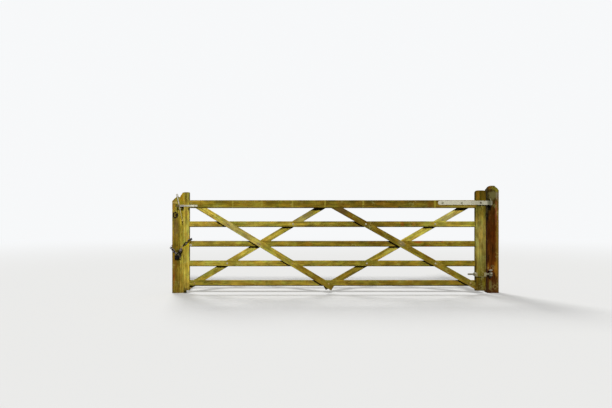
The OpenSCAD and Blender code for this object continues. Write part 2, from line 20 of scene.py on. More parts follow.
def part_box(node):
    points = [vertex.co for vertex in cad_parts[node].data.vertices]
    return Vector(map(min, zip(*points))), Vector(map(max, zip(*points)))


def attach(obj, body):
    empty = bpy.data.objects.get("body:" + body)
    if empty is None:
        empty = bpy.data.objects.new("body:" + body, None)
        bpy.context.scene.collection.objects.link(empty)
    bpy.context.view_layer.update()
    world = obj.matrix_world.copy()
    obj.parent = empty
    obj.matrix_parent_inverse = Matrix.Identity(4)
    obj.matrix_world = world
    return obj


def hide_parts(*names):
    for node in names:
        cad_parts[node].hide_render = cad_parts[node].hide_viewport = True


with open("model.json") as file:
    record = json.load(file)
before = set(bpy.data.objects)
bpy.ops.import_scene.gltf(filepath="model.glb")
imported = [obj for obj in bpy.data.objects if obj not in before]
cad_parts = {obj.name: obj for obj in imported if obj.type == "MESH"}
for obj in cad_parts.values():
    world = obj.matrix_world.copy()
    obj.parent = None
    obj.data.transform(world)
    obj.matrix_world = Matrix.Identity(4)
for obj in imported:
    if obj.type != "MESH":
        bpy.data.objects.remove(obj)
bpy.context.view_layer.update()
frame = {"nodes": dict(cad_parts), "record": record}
nodes = frame["nodes"]

# %% [markdown]
# ## Camera
#
# A picture of a gate is mostly taken standing square in front of it. The lens and the place of the
# camera set how much of the side faces shows: a nearer camera with a wider lens would show more.
# Here the camera stands a little over a metre high and looks level, so no vertical edge leans.

# %% Stand the camera in front of the gate
FRAME_W = 612
FOCAL_PX = 700
EYE = Vector((-2.28, -8.60, 1.085))

camera_data = bpy.data.cameras.new("camera")
camera_data.sensor_width = 36
camera_data.lens = FOCAL_PX / FRAME_W * camera_data.sensor_width
camera = bpy.data.objects.new("camera", camera_data)
camera.location = EYE
camera.rotation_euler = (math.radians(90), 0, 0)
bpy.context.scene.collection.objects.link(camera)
bpy.context.scene.camera = camera
print("lens, mm:", round(camera_data.lens, 1))

# %% [markdown]
# ## Small helpers for shader nodes
#
# A material is a graph of nodes. Adding nodes by hand in code is wordy, so a few helpers keep the
# graphs readable: one adds any node, others do sums, mix two colours, draw a noise and ease a value
# from 0 to 1 between two limits. The last ones start a material, and make, use and end a group.
# Colours are written as on a paint chart, 0 to 255.

# %% Helpers that add nodes
def paint(r, g, b):
    """A paint chart's colour as the linear colour that shaders work in."""
    def linear(c):
        c /= 255
        return c / 12.92 if c <= 0.04045 else ((c + 0.055) / 1.055) ** 2.4
    return (linear(r), linear(g), linear(b), 1.0)


def feed(tree, node, feeds):
    """Links other nodes' outputs to a node's inputs, and writes plain values into the others."""
    for name, value in feeds.items():
        if isinstance(value, bpy.types.NodeSocket):
            tree.links.new(value, node.inputs[name])
        else:
            node.inputs[name].default_value = value


def put(tree, kind, feeds=None, **settings):
    """Adds a node, sets it and feeds its inputs."""
    node = tree.nodes.new("ShaderNode" + kind)
    for name, value in settings.items():
        setattr(node, name, value)
    feed(tree, node, feeds or {})
    return node

# %% Sums on values and vectors
def calc(tree, operation, *values):
    """A sum on one to three values."""
    return put(tree, "Math", dict(enumerate(values)), operation=operation).outputs[0]


def times(tree, first, second):
    """Two values multiplied."""
    return calc(tree, "MULTIPLY", first, second)


def calc_vector(tree, operation, *vectors):
    """A sum on one or two vectors, which gives a vector, or else a value, as a length does."""
    outputs = put(tree, "VectorMath", dict(enumerate(vectors)), operation=operation).outputs
    return outputs["Value" if operation in ("LENGTH", "DISTANCE", "DOT_PRODUCT") else "Vector"]


def part_of(tree, vector, letter):
    """One coordinate of a vector."""
    return put(tree, "SeparateXYZ", {0: vector}).outputs["XYZ".index(letter)]


def place_on(tree):
    """Where a point lies, on the object's own coordinates."""
    return put(tree, "TexCoord").outputs["Object"]

# %% Mixes, limits and patterns
def mix(tree, share, first, second, how="MIX"):
    """The first colour, turned into the second by a share from 0 to 1."""
    feeds = {0: share, 6: first, 7: second}
    return put(tree, "Mix", feeds, data_type="RGBA", blend_type=how).outputs[2]


def between(tree, share, colour, low, high):
    """The colour times a tint that runs from low to high."""
    return mix(tree, 1.0, colour, mix(tree, share, (*low, 1), (*high, 1)), "MULTIPLY")


def tint(tree, share, colour, tone):
    """The colour, multiplied by a tone as far as the share says."""
    return mix(tree, share, colour, mix(tree, 1.0, colour, (*tone, 1), "MULTIPLY"))


def ease(tree, value, low, high):
    """0 at low, 1 at high, and smooth between them."""
    feeds = {"Value": value, "From Min": low, "From Max": high}
    return put(tree, "MapRange", feeds, interpolation_type="SMOOTHSTEP").outputs[0]


def fade(tree, value, low, high):
    """1 at low, 0 at high, and smooth between them."""
    return calc(tree, "SUBTRACT", 1.0, ease(tree, value, low, high))


def stretched(tree, vector, scale):
    """Coordinates scaled alike by one number, or by three so that a pattern is drawn out."""
    return calc_vector(tree, "MULTIPLY", vector, scale if isinstance(scale, tuple) else (scale,) * 3)


def cloud(tree, vector, scale, detail=2.0, rough=0.5, seed=0.0):
    """A noise from 0 to 1 with its middle at one half."""
    feeds = {"Vector": stretched(tree, vector, scale), "W": seed, "Scale": 1.0, "Detail": detail,
             "Roughness": rough}
    return put(tree, "TexNoise", feeds, noise_dimensions="4D").outputs[0]


def luck(tree, cells):
    """The chance number, from 0 to 1, that each cell of a Voronoi pattern has."""
    return put(tree, "SeparateColor", {0: cells.outputs["Color"]}).outputs[0]

# %% Materials and groups
def new_material(name):
    """A new material, its node tree and its Principled shader."""
    material = bpy.data.materials.new(name)
    material.use_nodes = True
    return material, material.node_tree, material.node_tree.nodes["Principled BSDF"]


def new_group(name, inputs, outputs):
    """An empty node group with the sockets named, its input node and its output node."""
    kinds = {"value": "NodeSocketFloat", "vector": "NodeSocketVector"}
    group = bpy.data.node_groups.new(name, "ShaderNodeTree")
    for label, kind in inputs.items():
        group.interface.new_socket(label, in_out="INPUT", socket_type=kinds[kind])
    for label in outputs:
        group.interface.new_socket(label, in_out="OUTPUT", socket_type=kinds["value"])
    return group, group.nodes.new("NodeGroupInput"), group.nodes.new("NodeGroupOutput")


def use_group(tree, group, feeds):
    """Puts a group in a tree, feeds its inputs and gives its outputs."""
    node = put(tree, "Group", node_tree=group)
    feed(tree, node, feeds)
    return node.outputs


def close_group(tree, leave, values):
    """Hands a group's results to its output node."""
    feed(tree, leave, values)
    print("node group:", tree.name, "nodes:", len(tree.nodes))
    return tree

# %% [markdown]
# ## Grain
#
# Sawn softwood shows long pale and dark streaks, much finer fibres that stand up when the surface
# weathers, thin drying cracks that follow the fibres, and knots that the grain flows round. All of
# them run along the timber, so they are made once as a group that takes coordinates with X along
# the grain. Noise that is scaled many times more across the grain than along it makes the streaks.
# A crack is the thin line where a stretched noise passes one half. A tree adds a ring each year, so
# the distance from the tree's heart, which lies a little outside the board, draws long lines on the
# faces and arcs on the sawn ends.

# %% The grain group
def build_grain():
    tree, enter, leave = new_group("grain", {"Along": "vector", "Seed": "value"},
                                   ["Streaks", "Fibres", "Cracks", "Knots", "Rings", "Growth"])
    along, seed = enter.outputs["Along"], enter.outputs["Seed"]
    sway = calc(tree, "SUBTRACT", cloud(tree, along, (1.3, 4, 4), seed=seed), 0.5)
    aside = put(tree, "CombineXYZ", {1: times(tree, sway, 0.05), 2: times(tree, sway, -0.04)})
    bent = calc_vector(tree, "ADD", along, aside.outputs[0])

    cells = put(tree, "TexVoronoi", {"Vector": stretched(tree, along, (3.4, 9, 9)), "W": seed,
                                     "Scale": 1.0}, voronoi_dimensions="4D")
    chosen = calc(tree, "GREATER_THAN", luck(tree, cells), 0.5)
    far = cells.outputs["Distance"]
    knot = times(tree, fade(tree, far, 0.13, 0.20), chosen)
    halo = times(tree, fade(tree, far, 0.15, 0.42), chosen)
    swirl = times(tree, halo, 0.012)
    round_knot = put(tree, "CombineXYZ", {1: swirl, 2: swirl}).outputs[0]
    flow = calc_vector(tree, "ADD", bent, round_knot)

    streaks = cloud(tree, flow, (1.2, 44, 44), 5, 0.64, seed)
    fibres = cloud(tree, flow, (9, 520, 520), 3, 0.7, seed)
    line = cloud(tree, flow, (2.4, 75, 75), 2, 0.4, seed)
    off_line = calc(tree, "ABSOLUTE", calc(tree, "SUBTRACT", line, 0.5))
    where = ease(tree, cloud(tree, along, (2, 9, 9), 1, 0.5, seed), 0.5, 0.62)
    ring = calc(tree, "SINE", times(tree, far, 140))

    heart = stretched(tree, calc_vector(tree, "ADD", flow, (0, 0.11, 0.07)), (0, 1, 1))
    radius = calc_vector(tree, "LENGTH", heart)
    uneven = cloud(tree, along, (2.5, 30, 30), 2, 0.5, seed)
    years = calc(tree, "MULTIPLY_ADD", radius, 190, times(tree, uneven, 3.0))
    year = calc(tree, "FRACT", years)
    growth = times(tree, ease(tree, year, 0.35, 0.9), fade(tree, year, 0.93, 1.0))
    return close_group(tree, leave, {
        "Streaks": ease(tree, streaks, 0.28, 0.72),
        "Fibres": ease(tree, fibres, 0.2, 0.8),
        "Cracks": times(tree, fade(tree, off_line, 0.002, 0.011), where),
        "Knots": knot,
        "Rings": times(tree, ring, halo),
        "Growth": growth,
    })


grain = build_grain()

# %% [markdown]
# ## Worn and wet edges, with painted highlight and shade
#
# Rain and cattle wear a timber most along its long arrises and at its sawn ends, where the end
# grain drinks water and goes dark. The paler arrises are partly that wear and partly a painted
# highlight along the edges. A dark line along a rail's lower edge is painted shade of its underside.
# A timber is nearly a box, so the distance to its edges is a sum on its own centred coordinates.
# That reads the same from any side and needs no extra mesh.

# %% The edge group
def build_edges():
    tree, enter, leave = new_group("edges", {"Along": "vector", "Half": "vector"},
                                   ["Arris", "End", "End Grain", "Low Edge"])
    along, half = enter.outputs["Along"], enter.outputs["Half"]
    inward = [calc(tree, "SUBTRACT", part_of(tree, half, a),
                   calc(tree, "ABSOLUTE", part_of(tree, along, a))) for a in "XYZ"]
    ragged = cloud(tree, along, (30, 90, 90), 3)
    corner = calc(tree, "ADD", calc(tree, "MAXIMUM", inward[1], 0.0),
                  calc(tree, "MAXIMUM", inward[2], 0.0))
    height = calc(tree, "ADD", part_of(tree, along, "Z"), part_of(tree, half, "Z"))
    return close_group(tree, leave, {
        "Arris": fade(tree, corner, 0.001, times(tree, ragged, 0.018)),
        "End": fade(tree, inward[0], 0.0, times(tree, ragged, 0.10)),
        "End Grain": calc(tree, "LESS_THAN", inward[0], 0.0012),
        "Low Edge": fade(tree, height, 0.002, times(tree, ragged, 0.030)),
    })


edges = build_edges()

# %% [markdown]
# ## Blotches, runs, algae and damp
#
# Weather works in clouds that are larger than the grain: a board is darker where it stays wet and
# paler where the sun gets to it, and water that runs down a face leaves upright stains. Timber that
# never dries turns green, with paler spots of lichen: cells of which only some grow, each to its
# own size, with an outline shaken by noise and a crumbly skin. Near the ground, rain splashes soil
# on the wood. The group gives masks only, and each material decides what colours they bring.

# %% The weather group
def build_weather():
    tree, enter, leave = new_group("weather", {"Along": "vector", "Seed": "value"},
                                   ["Blotch", "Hue", "Runs", "Algae", "Lichen", "Splash"])
    along, seed = enter.outputs["Along"], enter.outputs["Seed"]
    point = put(tree, "TexCoord").outputs
    place, up = point["Object"], part_of(tree, point["Normal"], "Z")
    soft = cloud(tree, along, (9, 22, 22), 4, 0.62, seed)
    hue = cloud(tree, along, (7, 17, 17), 4, 0.65, calc(tree, "ADD", seed, 3.3))
    runs = cloud(tree, place, (46, 46, 3.5), 3, 0.6, seed)
    broad = cloud(tree, place, 5.5, 4, 0.6, seed)
    upward = times(tree, calc(tree, "MAXIMUM", up, 0.0), 0.16)
    shaken = put(tree, "TexNoise", {"Vector": place, "Scale": 160.0, "Detail": 3.0}).outputs["Color"]
    spots = calc_vector(tree, "ADD", place, stretched(tree, shaken, 0.006))
    spots = put(tree, "TexVoronoi", {"Vector": spots, "Scale": 62.0})
    reach = ease(tree, luck(tree, spots), 0.45, 1.6)
    grouped = ease(tree, cloud(tree, place, 9, 2, 0.5, seed), 0.55, 0.68)
    crumbs = cloud(tree, place, 380, 3, 0.7)
    crust = times(tree, grouped, ease(tree, crumbs, 0.38, 0.62))
    low = calc(tree, "MULTIPLY_ADD", broad, -0.25, part_of(tree, place, "Z"))
    return close_group(tree, leave, {
        "Blotch": ease(tree, soft, 0.3, 0.7),
        "Hue": ease(tree, hue, 0.34, 0.66),
        "Runs": ease(tree, runs, 0.56, 0.74),
        "Algae": ease(tree, calc(tree, "ADD", broad, upward), 0.36, 0.66),
        "Lichen": times(tree, fade(tree, spots.outputs["Distance"], times(tree, reach, 0.7), reach),
                        crust),
        "Splash": fade(tree, low, -0.10, 0.20),
    })


weather = build_weather()

# %% [markdown]
# ## Patches in their places
#
# Some marks are this gate's own: moss on one slope of the post, a rusty run below a bolt, a pale
# band where water drips. Others are painted light: black and dark patches paint the shadows below
# the hinges, the guide loop and the chain, and in the gaps, and pale patches paint highlights on
# the bottom hinge and the chain. Each is a ragged oval round a point. One group works out its mask,
# and a material uses it once for each patch that it has.

# %% The patch group
def build_patch():
    tree, enter, leave = new_group(
        "patch", {"Centre": "vector", "Size": "vector", "Ragged": "value"}, ["Mask"])
    away = calc_vector(tree, "SUBTRACT", place_on(tree), enter.outputs["Centre"])
    far = calc_vector(tree, "LENGTH", calc_vector(tree, "DIVIDE", away, enter.outputs["Size"]))
    far = calc(tree, "ADD", far, enter.outputs["Ragged"])
    return close_group(tree, leave, {"Mask": fade(tree, far, 0.45, 1.15)})


patch = build_patch()

# %% Marks, and a helper that lays them
PATCH_DEEP = 0.09
# Black and the dark stain mark also paint shade, and pale zinc partly paints highlights.
MARKS = {
    "moss": (126, 118, 34), "dry moss": (160, 144, 58), "orange": (158, 108, 30),
    "rust": (150, 74, 24), "brick": (140, 78, 50), "straw": (186, 172, 88), "dark stain and shade": (52, 40, 16),
    "black": (20, 14, 6), "violet": (92, 62, 50), "bark": (84, 66, 20), "tan": (142, 112, 46),
    "grey green": (112, 106, 66), "ash": (136, 126, 106), "fox": (112, 72, 26),
    "lilac": (118, 110, 116), "zinc shade": (132, 128, 106), "dull green": (84, 84, 60),
    "pale zinc": (214, 212, 192), "rubbed zinc and highlight": (150, 146, 150), "yellow": (200, 176, 20),
}


def add_patches(tree, colour, patches, deep):
    """Lays patches over a colour. Each is a mark, x, z, half width, half height and a share."""
    if not patches:
        return colour
    ragged = cloud(tree, place_on(tree), (48, 48, 22), 5, 0.75)
    ragged = calc(tree, "MULTIPLY_ADD", ragged, 2.2, -1.1)
    for mark, x, z, wide, high, share in patches:
        mask = use_group(tree, patch, {"Centre": (x, deep, z), "Size": (wide, PATCH_DEEP, high),
                                       "Ragged": ragged})[0]
        colour = mix(tree, times(tree, mask, share), colour, paint(*MARKS[mark]))
    return colour

# %% [markdown]
# ## Painted shade in the crossings
#
# Where a brace crosses a rail, a black line is painted on the timber behind, just below the lower
# edge of the timber in front: painted shade, standing in for that timber's shadow. The group
# measures how far a point lies past an edge line, given as the direction across the line and the
# line's own place along that direction. Only the front half of a board gets the painted shade,
# because the other timber lies in front of it.

# %% The painted shade group of the crossings
def build_crossing_shade():
    tree, enter, leave = new_group(
        "crossing_shade", {"Across": "vector", "Edge": "value", "Width": "value", "Deep": "value"}, ["Mask"])
    place = place_on(tree)
    past = calc_vector(tree, "DOT_PRODUCT", place, enter.outputs["Across"])
    past = calc(tree, "SUBTRACT", past, enter.outputs["Edge"])
    ragged = cloud(tree, place, 60, 3, 0.6)
    wide = times(tree, calc(tree, "ADD", ragged, 0.5), enter.outputs["Width"])
    started = calc(tree, "GREATER_THAN", past, -0.001)
    in_front = calc(tree, "LESS_THAN", part_of(tree, place, "Y"), enter.outputs["Deep"])
    line = fade(tree, past, times(tree, wide, 0.6), wide)
    return close_group(tree, leave, {"Mask": times(tree, line, times(tree, started, in_front))})


crossing_shade = build_crossing_shade()

# %% [markdown]
# ## Timber finish
#
# The gate was sawn from one kind of wood, but each board weathered in its own way: the latch side is
# sunny and straw yellow, the hinge side brown, and the hanging post an older, redder wood. So each
# board has its own few tones, from one end to the other, and the patterns come from the groups.
# The Principled shader stays in the material.

# %% Weathered wood
CRACK = paint(30, 20, 8)
KNOT = paint(66, 42, 14)
END_GRAIN = paint(104, 78, 38)
LICHEN = paint(176, 170, 100)
SOIL = paint(70, 50, 26)
# The black of the painted shade lines below crossing timbers.
SHADE_BLACK = paint(24, 18, 8)


def tone_along(tree, along, half_length, tones, seed):
    """The board's tones from one end to the other, with a wavering line between them."""
    waver = cloud(tree, along, (4, 22, 22), 3, 0.6, seed)
    share = calc(tree, "MULTIPLY_ADD", part_of(tree, along, "X"), 0.5 / half_length, 0.5)
    share = calc(tree, "ADD", share, calc(tree, "MULTIPLY_ADD", waver, 0.16, -0.08))
    ramp = put(tree, "ValToRGB", {0: share})
    stops = ramp.color_ramp.elements
    while len(stops) < len(tones):
        stops.new(0.5)
    for i, tone in enumerate(tones):
        stops[i].position = (i + 0.5) / len(tones)
        stops[i].color = paint(*TONES[tone])
    return ramp.outputs[0]


def wood_finish(timber, seed):
    """Weathered wood for one timber, on coordinates that are centred and turned along it."""
    turn, tones = TIMBERS[timber]
    centre, half = SIZES[timber]
    algae = POST_ALGAE if "post" in timber else GATE_ALGAE
    # Rails get a dark line painted along their lower edge: painted shade of the underside.
    underside_shade = UNDERSIDE_SHADE if turn == LEVEL else 0.0
    material, tree, shader = new_material(timber + "_wood")
    feeds = {"Vector": place_on(tree), "Location": centre, "Rotation": (0, turn, 0)}
    along = put(tree, "Mapping", feeds, vector_type="TEXTURE").outputs[0]
    wood = use_group(tree, grain, {"Along": along, "Seed": seed})
    worn = use_group(tree, edges, {"Along": along, "Half": half})
    sky = use_group(tree, weather, {"Along": along, "Seed": seed})

    colour = tone_along(tree, along, half[0], tones, seed)
    colour = between(tree, sky["Blotch"], colour, (0.62, 0.60, 0.55), (1.36, 1.37, 1.42))
    colour = between(tree, sky["Hue"], colour, (1.10, 0.94, 0.78), (0.92, 1.06, 1.16))
    colour = between(tree, wood["Streaks"], colour, (0.74, 0.70, 0.58), (1.56, 1.56, 1.46))
    colour = tint(tree, times(tree, sky["Runs"], 0.35), colour, (0.50, 0.42, 0.30))
    colour = add_patches(tree, colour, PATCHES.get(timber), centre[1] - half[1])
    colour = tint(tree, times(tree, sky["Algae"], algae), colour, (0.92, 1.10, 0.70))
    colour = between(tree, wood["Fibres"], colour, (1.12, 1.12, 1.12), (0.60, 0.57, 0.54))
    colour = between(tree, wood["Growth"], colour, (1.19, 1.20, 1.26), (0.83, 0.78, 0.70))
    # Paler arrises: partly wear, partly a painted highlight along the edges.
    colour = tint(tree, times(tree, worn["Arris"], 0.35), colour, (1.45, 1.42, 1.5))
    # The low edge's dark line is painted shade of the rail's underside.
    for mask, share, skin in ((sky["Lichen"], 0.55, LICHEN), (wood["Knots"], 0.75, KNOT),
                              (worn["End"], 0.25, KNOT), (worn["End Grain"], 0.45, END_GRAIN),
                              (sky["Splash"], 0.3, SOIL), (worn["Low Edge"], underside_shade, CRACK)):
        colour = mix(tree, times(tree, mask, share), colour, skin)
    colour = mix(tree, wood["Cracks"], colour, CRACK)
    # A black line painted below each crossing timber's lower edge: painted shade.
    for across, edge, width in CROSSING_SHADES.get(timber, ()):
        shade_line = use_group(tree, crossing_shade, {"Across": across, "Edge": edge, "Width": width,
                                          "Deep": centre[1]})[0]
        colour = mix(tree, shade_line, colour, SHADE_BLACK)

    rough = calc(tree, "MULTIPLY_ADD", wood["Fibres"], 0.12, 0.84)
    height = times(tree, wood["Fibres"], 0.35)
    for mark, proud in (("Streaks", 0.5), ("Cracks", -1.4), ("Rings", 0.12), ("Growth", 0.45)):
        height = calc(tree, "MULTIPLY_ADD", wood[mark], proud, height)
    bump = put(tree, "Bump", {"Strength": 0.8, "Distance": 0.0016, "Height": height})
    feed(tree, shader, {"Base Color": colour, "Roughness": rough, "Normal": bump.outputs[0],
                        "Specular IOR Level": 0.02})
    return material

# %% [markdown]
# ## Which board is which
#
# Each timber is a straight piece, so one direction and a few tones describe it. The tones are a
# short list for the whole gate, and a board takes three or four of them. Rails run level and their
# tones go from left to right. Posts and stiles stand, and theirs go from the foot up. A brace
# slopes, and its tones follow its own slope. A turn about Y lays the pattern's X axis along the
# timber, and the timber's box gives its middle and its half sizes.

# %% The list of timbers
LEVEL = 0.0
STANDING = math.radians(-90)
TONES = {
    "pale straw": (180, 165, 75), "straw": (150, 136, 55), "grey straw": (138, 126, 62),
    "tan": (125, 108, 36), "brown": (104, 86, 28), "dark olive": (86, 72, 14),
    "gold": (175, 155, 40), "red brown": (74, 38, 8), "dark moss": (60, 50, 16),
}
TIMBERS = {
    "hanging_post": (STANDING, ["red brown", "red brown", "red brown", "dark moss"]),
    "slam_post": (STANDING, ["tan", "brown", "tan", "straw"]),
    "stop_batten": (STANDING, ["straw", "straw", "gold"]),
    "heel_stile": (STANDING, ["dark olive", "grey straw", "grey straw", "dark olive"]),
    "closing_stile": (STANDING, ["pale straw", "straw", "pale straw", "straw"]),
    "top_rail": (LEVEL, ["tan", "tan", "brown", "brown"]),
    "second_rail": (LEVEL, ["straw", "straw", "brown", "straw"]),
    "third_rail": (LEVEL, ["straw", "tan", "brown", "tan"]),
    "fourth_rail": (LEVEL, ["straw", "straw", "tan", "tan"]),
    "bottom_rail": (LEVEL, ["straw", "straw", "tan", "tan"]),
    "front_brace_latch_side": (math.atan2(0.937, 1.542), [
        "pale straw", "pale straw", "straw", "tan"]),
    "front_brace_hinge_side": (math.atan2(0.944, 1.672), ["brown", "tan", "tan"]),
    "back_brace_latch_side": (-math.atan2(0.944, 1.582), ["straw", "pale straw", "straw"]),
    "back_brace_hinge_side": (-math.atan2(0.937, 1.632), ["tan", "straw", "pale straw"]),
}

# %% The patches on each timber
DRIP_BANDS = [("dry moss", x, 1.083, 0.013, 0.085, 0.75)
              for x in (-3.166, -2.814, -2.444, -2.050, -1.588, -0.721)]
PATCHES = {
    "hanging_post": [
        ("tan", 0.062, 0.66, 0.032, 0.80, 0.55), ("grey green", 0.0, 1.19, 0.070, 0.060, 0.75),
        ("ash", 0.048, 1.19, 0.016, 0.060, 0.6), ("moss", 0.050, 1.27, 0.035, 0.045, 0.9),
        ("fox", -0.020, 1.285, 0.050, 0.030, 0.8), ("rust", -0.020, 1.302, 0.045, 0.014, 0.7),
        ("dark stain and shade", -0.018, 1.255, 0.026, 0.018, 0.9), ("brick", 0.036, 0.99, 0.013, 0.17, 0.7),
        # The two black patches are painted shadow: below the top hinge's knuckle, and by the heel
        # stile.
        ("black", -0.052, 1.035, 0.032, 0.040, 1.0), ("black", -0.074, 0.95, 0.022, 0.11, 0.8),
        ("orange", 0.035, 0.30, 0.022, 0.11, 0.6), ("orange", -0.060, 0.315, 0.012, 0.06, 0.5),
        ("moss", -0.040, 0.105, 0.014, 0.06, 0.6), ("grey green", -0.030, 0.11, 0.018, 0.05, 0.5)],
    "slam_post": [
        ("orange", -3.888, 1.065, 0.020, 0.09, 0.5), ("moss", -3.850, 1.115, 0.022, 0.022, 0.7),
        ("dark stain and shade", -3.895, 0.953, 0.016, 0.045, 0.9), ("black", -3.860, 0.948, 0.017, 0.024, 1.0),
        ("dark stain and shade", -3.876, 0.914, 0.016, 0.010, 0.8), ("violet", -3.866, 0.80, 0.035, 0.15, 0.45),
        ("orange", -3.852, 0.56, 0.012, 0.014, 0.7), ("rust", -3.890, 0.19, 0.013, 0.11, 0.6),
        # The dark patch 0.5 m high is painted shadow of the chain.
        ("dark stain and shade", -3.838, 0.50, 0.035, 0.040, 0.7), ("fox", -3.872, 0.34, 0.030, 0.15, 0.45)],
    "stop_batten": [
        # The dark patch 0.5 m high is painted shadow of the chain; the black one, below the guide
        # loop.
        ("dark stain and shade", -3.800, 0.50, 0.020, 0.045, 0.7), ("orange", -3.777, 0.533, 0.013, 0.013, 0.8),
        ("orange", -3.783, 1.165, 0.035, 0.055, 0.6), ("moss", -3.783, 1.10, 0.035, 0.03, 0.6),
        ("black", -3.781, 1.033, 0.026, 0.022, 1.0)],
    "heel_stile": [
        ("orange", -0.200, 1.195, 0.028, 0.08, 0.4), ("bark", -0.130, 1.20, 0.030, 0.08, 0.5),
        ("moss", -0.130, 0.12, 0.017, 0.06, 0.7), ("dark stain and shade", -0.226, 0.25, 0.010, 0.25, 0.5),
        # The black patches are painted shadow: below the strap, by the post and below the eye bolt's
        # plates.
        ("black", -0.150, 1.068, 0.060, 0.010, 1.0), ("black", -0.106, 0.99, 0.008, 0.09, 0.7),
        ("black", -0.166, 0.199, 0.075, 0.008, 0.9)],
    "closing_stile": [
        ("straw", -3.712, 1.18, 0.011, 0.06, 0.5), ("tan", -3.725, 0.955, 0.016, 0.07, 0.5),
        ("yellow", -3.702, 0.605, 0.030, 0.036, 0.8), ("yellow", -3.742, 0.585, 0.026, 0.022, 0.6),
        ("straw", -3.702, 0.375, 0.010, 0.04, 0.6),
        # These dark and black patches are painted shadow: below the guide loop, and at the stile's
        # foot.
        ("dark stain and shade", -3.700, 1.028, 0.011, 0.026, 0.8), ("black", -3.764, 1.033, 0.010, 0.020, 0.9),
        ("dark stain and shade", -3.730, 0.05, 0.040, 0.03, 0.6)],
    "top_rail": DRIP_BANDS + [
        ("bark", -3.30, 1.10, 0.12, 0.03, 0.5), ("bark", -2.66, 1.105, 0.13, 0.03, 0.5),
        ("orange", -1.35, 1.09, 0.10, 0.03, 0.4), ("fox", -0.78, 1.075, 0.05, 0.04, 0.6),
        ("dry moss", -0.45, 1.048, 0.25, 0.012, 0.7), ("dry moss", -3.0, 1.05, 0.55, 0.012, 0.5)],
    "second_rail": [
        ("rust", -1.115, 0.84, 0.028, 0.035, 0.5), ("orange", -0.976, 0.84, 0.03, 0.03, 0.5),
        ("tan", -3.45, 0.84, 0.16, 0.03, 0.5), ("straw", -2.92, 0.83, 0.10, 0.03, 0.4)],
    "third_rail": [
        ("rust", -0.915, 0.622, 0.06, 0.018, 0.8), ("rust", -0.800, 0.575, 0.06, 0.012, 0.6),
        ("rust", -0.630, 0.628, 0.03, 0.012, 0.6), ("orange", -2.255, 0.60, 0.06, 0.035, 0.5),
        ("tan", -3.40, 0.60, 0.30, 0.05, 0.4)],
    "front_brace_hinge_side": [
        ("violet", -1.85, 1.00, 0.09, 0.07, 0.5), ("rust", -1.746, 0.947, 0.022, 0.022, 0.3),
        ("ash", -1.12, 0.62, 0.05, 0.05, 0.5)],
    "front_brace_latch_side": [
        ("ash", -3.10, 0.76, 0.28, 0.20, 0.35), ("straw", -2.93, 0.620, 0.07, 0.035, 0.6),
        ("ash", -2.855, 0.600, 0.030, 0.024, 0.6)],
    "back_brace_latch_side": [
        ("ash", -2.32, 0.90, 0.16, 0.12, 0.4), ("straw", -2.33, 0.893, 0.05, 0.05, 0.6),
        ("tan", -3.14, 0.45, 0.08, 0.06, 0.6), ("straw", -2.97, 0.55, 0.06, 0.05, 0.5)],
    "back_brace_hinge_side": [("ash", -0.55, 0.94, 0.16, 0.12, 0.4)],
}

# %% Measure the timbers
def laid(name):
    """The turn that lays the X axis along a timber, as a matrix."""
    return Euler((0, TIMBERS[name][0], 0)).to_matrix()


def measure(name):
    """A timber's middle and its half length, half thickness and half width in its own directions."""
    low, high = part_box(name)
    middle = (low + high) / 2
    turned = laid(name)
    spots = [turned.inverted() @ (v.co - middle) for v in nodes[name].data.vertices]
    lows = [min(s[i] for s in spots) for i in range(3)]
    highs = [max(s[i] for s in spots) for i in range(3)]
    shift = Vector([(lows[i] + highs[i]) / 2 for i in range(3)])
    return middle + turned @ shift, [(highs[i] - lows[i]) / 2 for i in range(3)]


SIZES = {name: measure(name) for name in TIMBERS}
# Widths of the painted shade lines, below the top rail and below the other timbers.
TOP_SHADE_WIDTH, SHADE_WIDTH = 0.035, 0.022


def lower_edge(name):
    """What points out of a timber's lower edge, the edge's place along it, and the painted shade's
    width.
    """
    centre, half = SIZES[name]
    across = laid(name) @ Vector((0, 0, -1))
    across.y = 0
    return across, across.dot(centre) + half[2], TOP_SHADE_WIDTH if name == "top_rail" else SHADE_WIDTH


RAILS = [name for name in TIMBERS if name.endswith("_rail")]
CROSSING_SHADES = {name: [lower_edge("front_brace_latch_side"), lower_edge("front_brace_hinge_side")]
             for name in RAILS if name != "top_rail"}
for name in ("back_brace_latch_side", "back_brace_hinge_side"):
    CROSSING_SHADES[name] = [lower_edge(rail) for rail in RAILS]
print("lower edges of the rails, m:", [round(-lower_edge(rail)[1], 3) for rail in RAILS])

# %% Give each timber its wood
POST_ALGAE, GATE_ALGAE = 0.3, 0.45
# How dark the painted shade along each rail's lower edge is.
UNDERSIDE_SHADE = 0.8
WOOD = {}


def give(name, material):
    """Hands a solid its finish."""
    nodes[name].data.materials.clear()
    nodes[name].data.materials.append(material)


for number, name in enumerate(TIMBERS):
    WOOD[name] = wood_finish(name, 3.7 * number)
    give(name, WOOD[name])
    print(name, "half sizes, mm:", [round(1000 * h) for h in SIZES[name][1]])

# %% [markdown]
# ## Finished pieces
#
# A piece starts as a bmesh, is shaped by operators and ends as an object that stays at the origin.
# It takes a finish and rides on one of the gate's bodies. A spin may turn faces in, so those of a
# rounded piece are turned outwards first. The other helpers cut along a plane, round edges off,
# draw a face out, and tell new points from old.

# %% Turn a bmesh into a piece
carried = frame["record"]["behaviour"]["bodies"]
BODY_OF = {name: body for body, parts in carried.items() for name in parts}


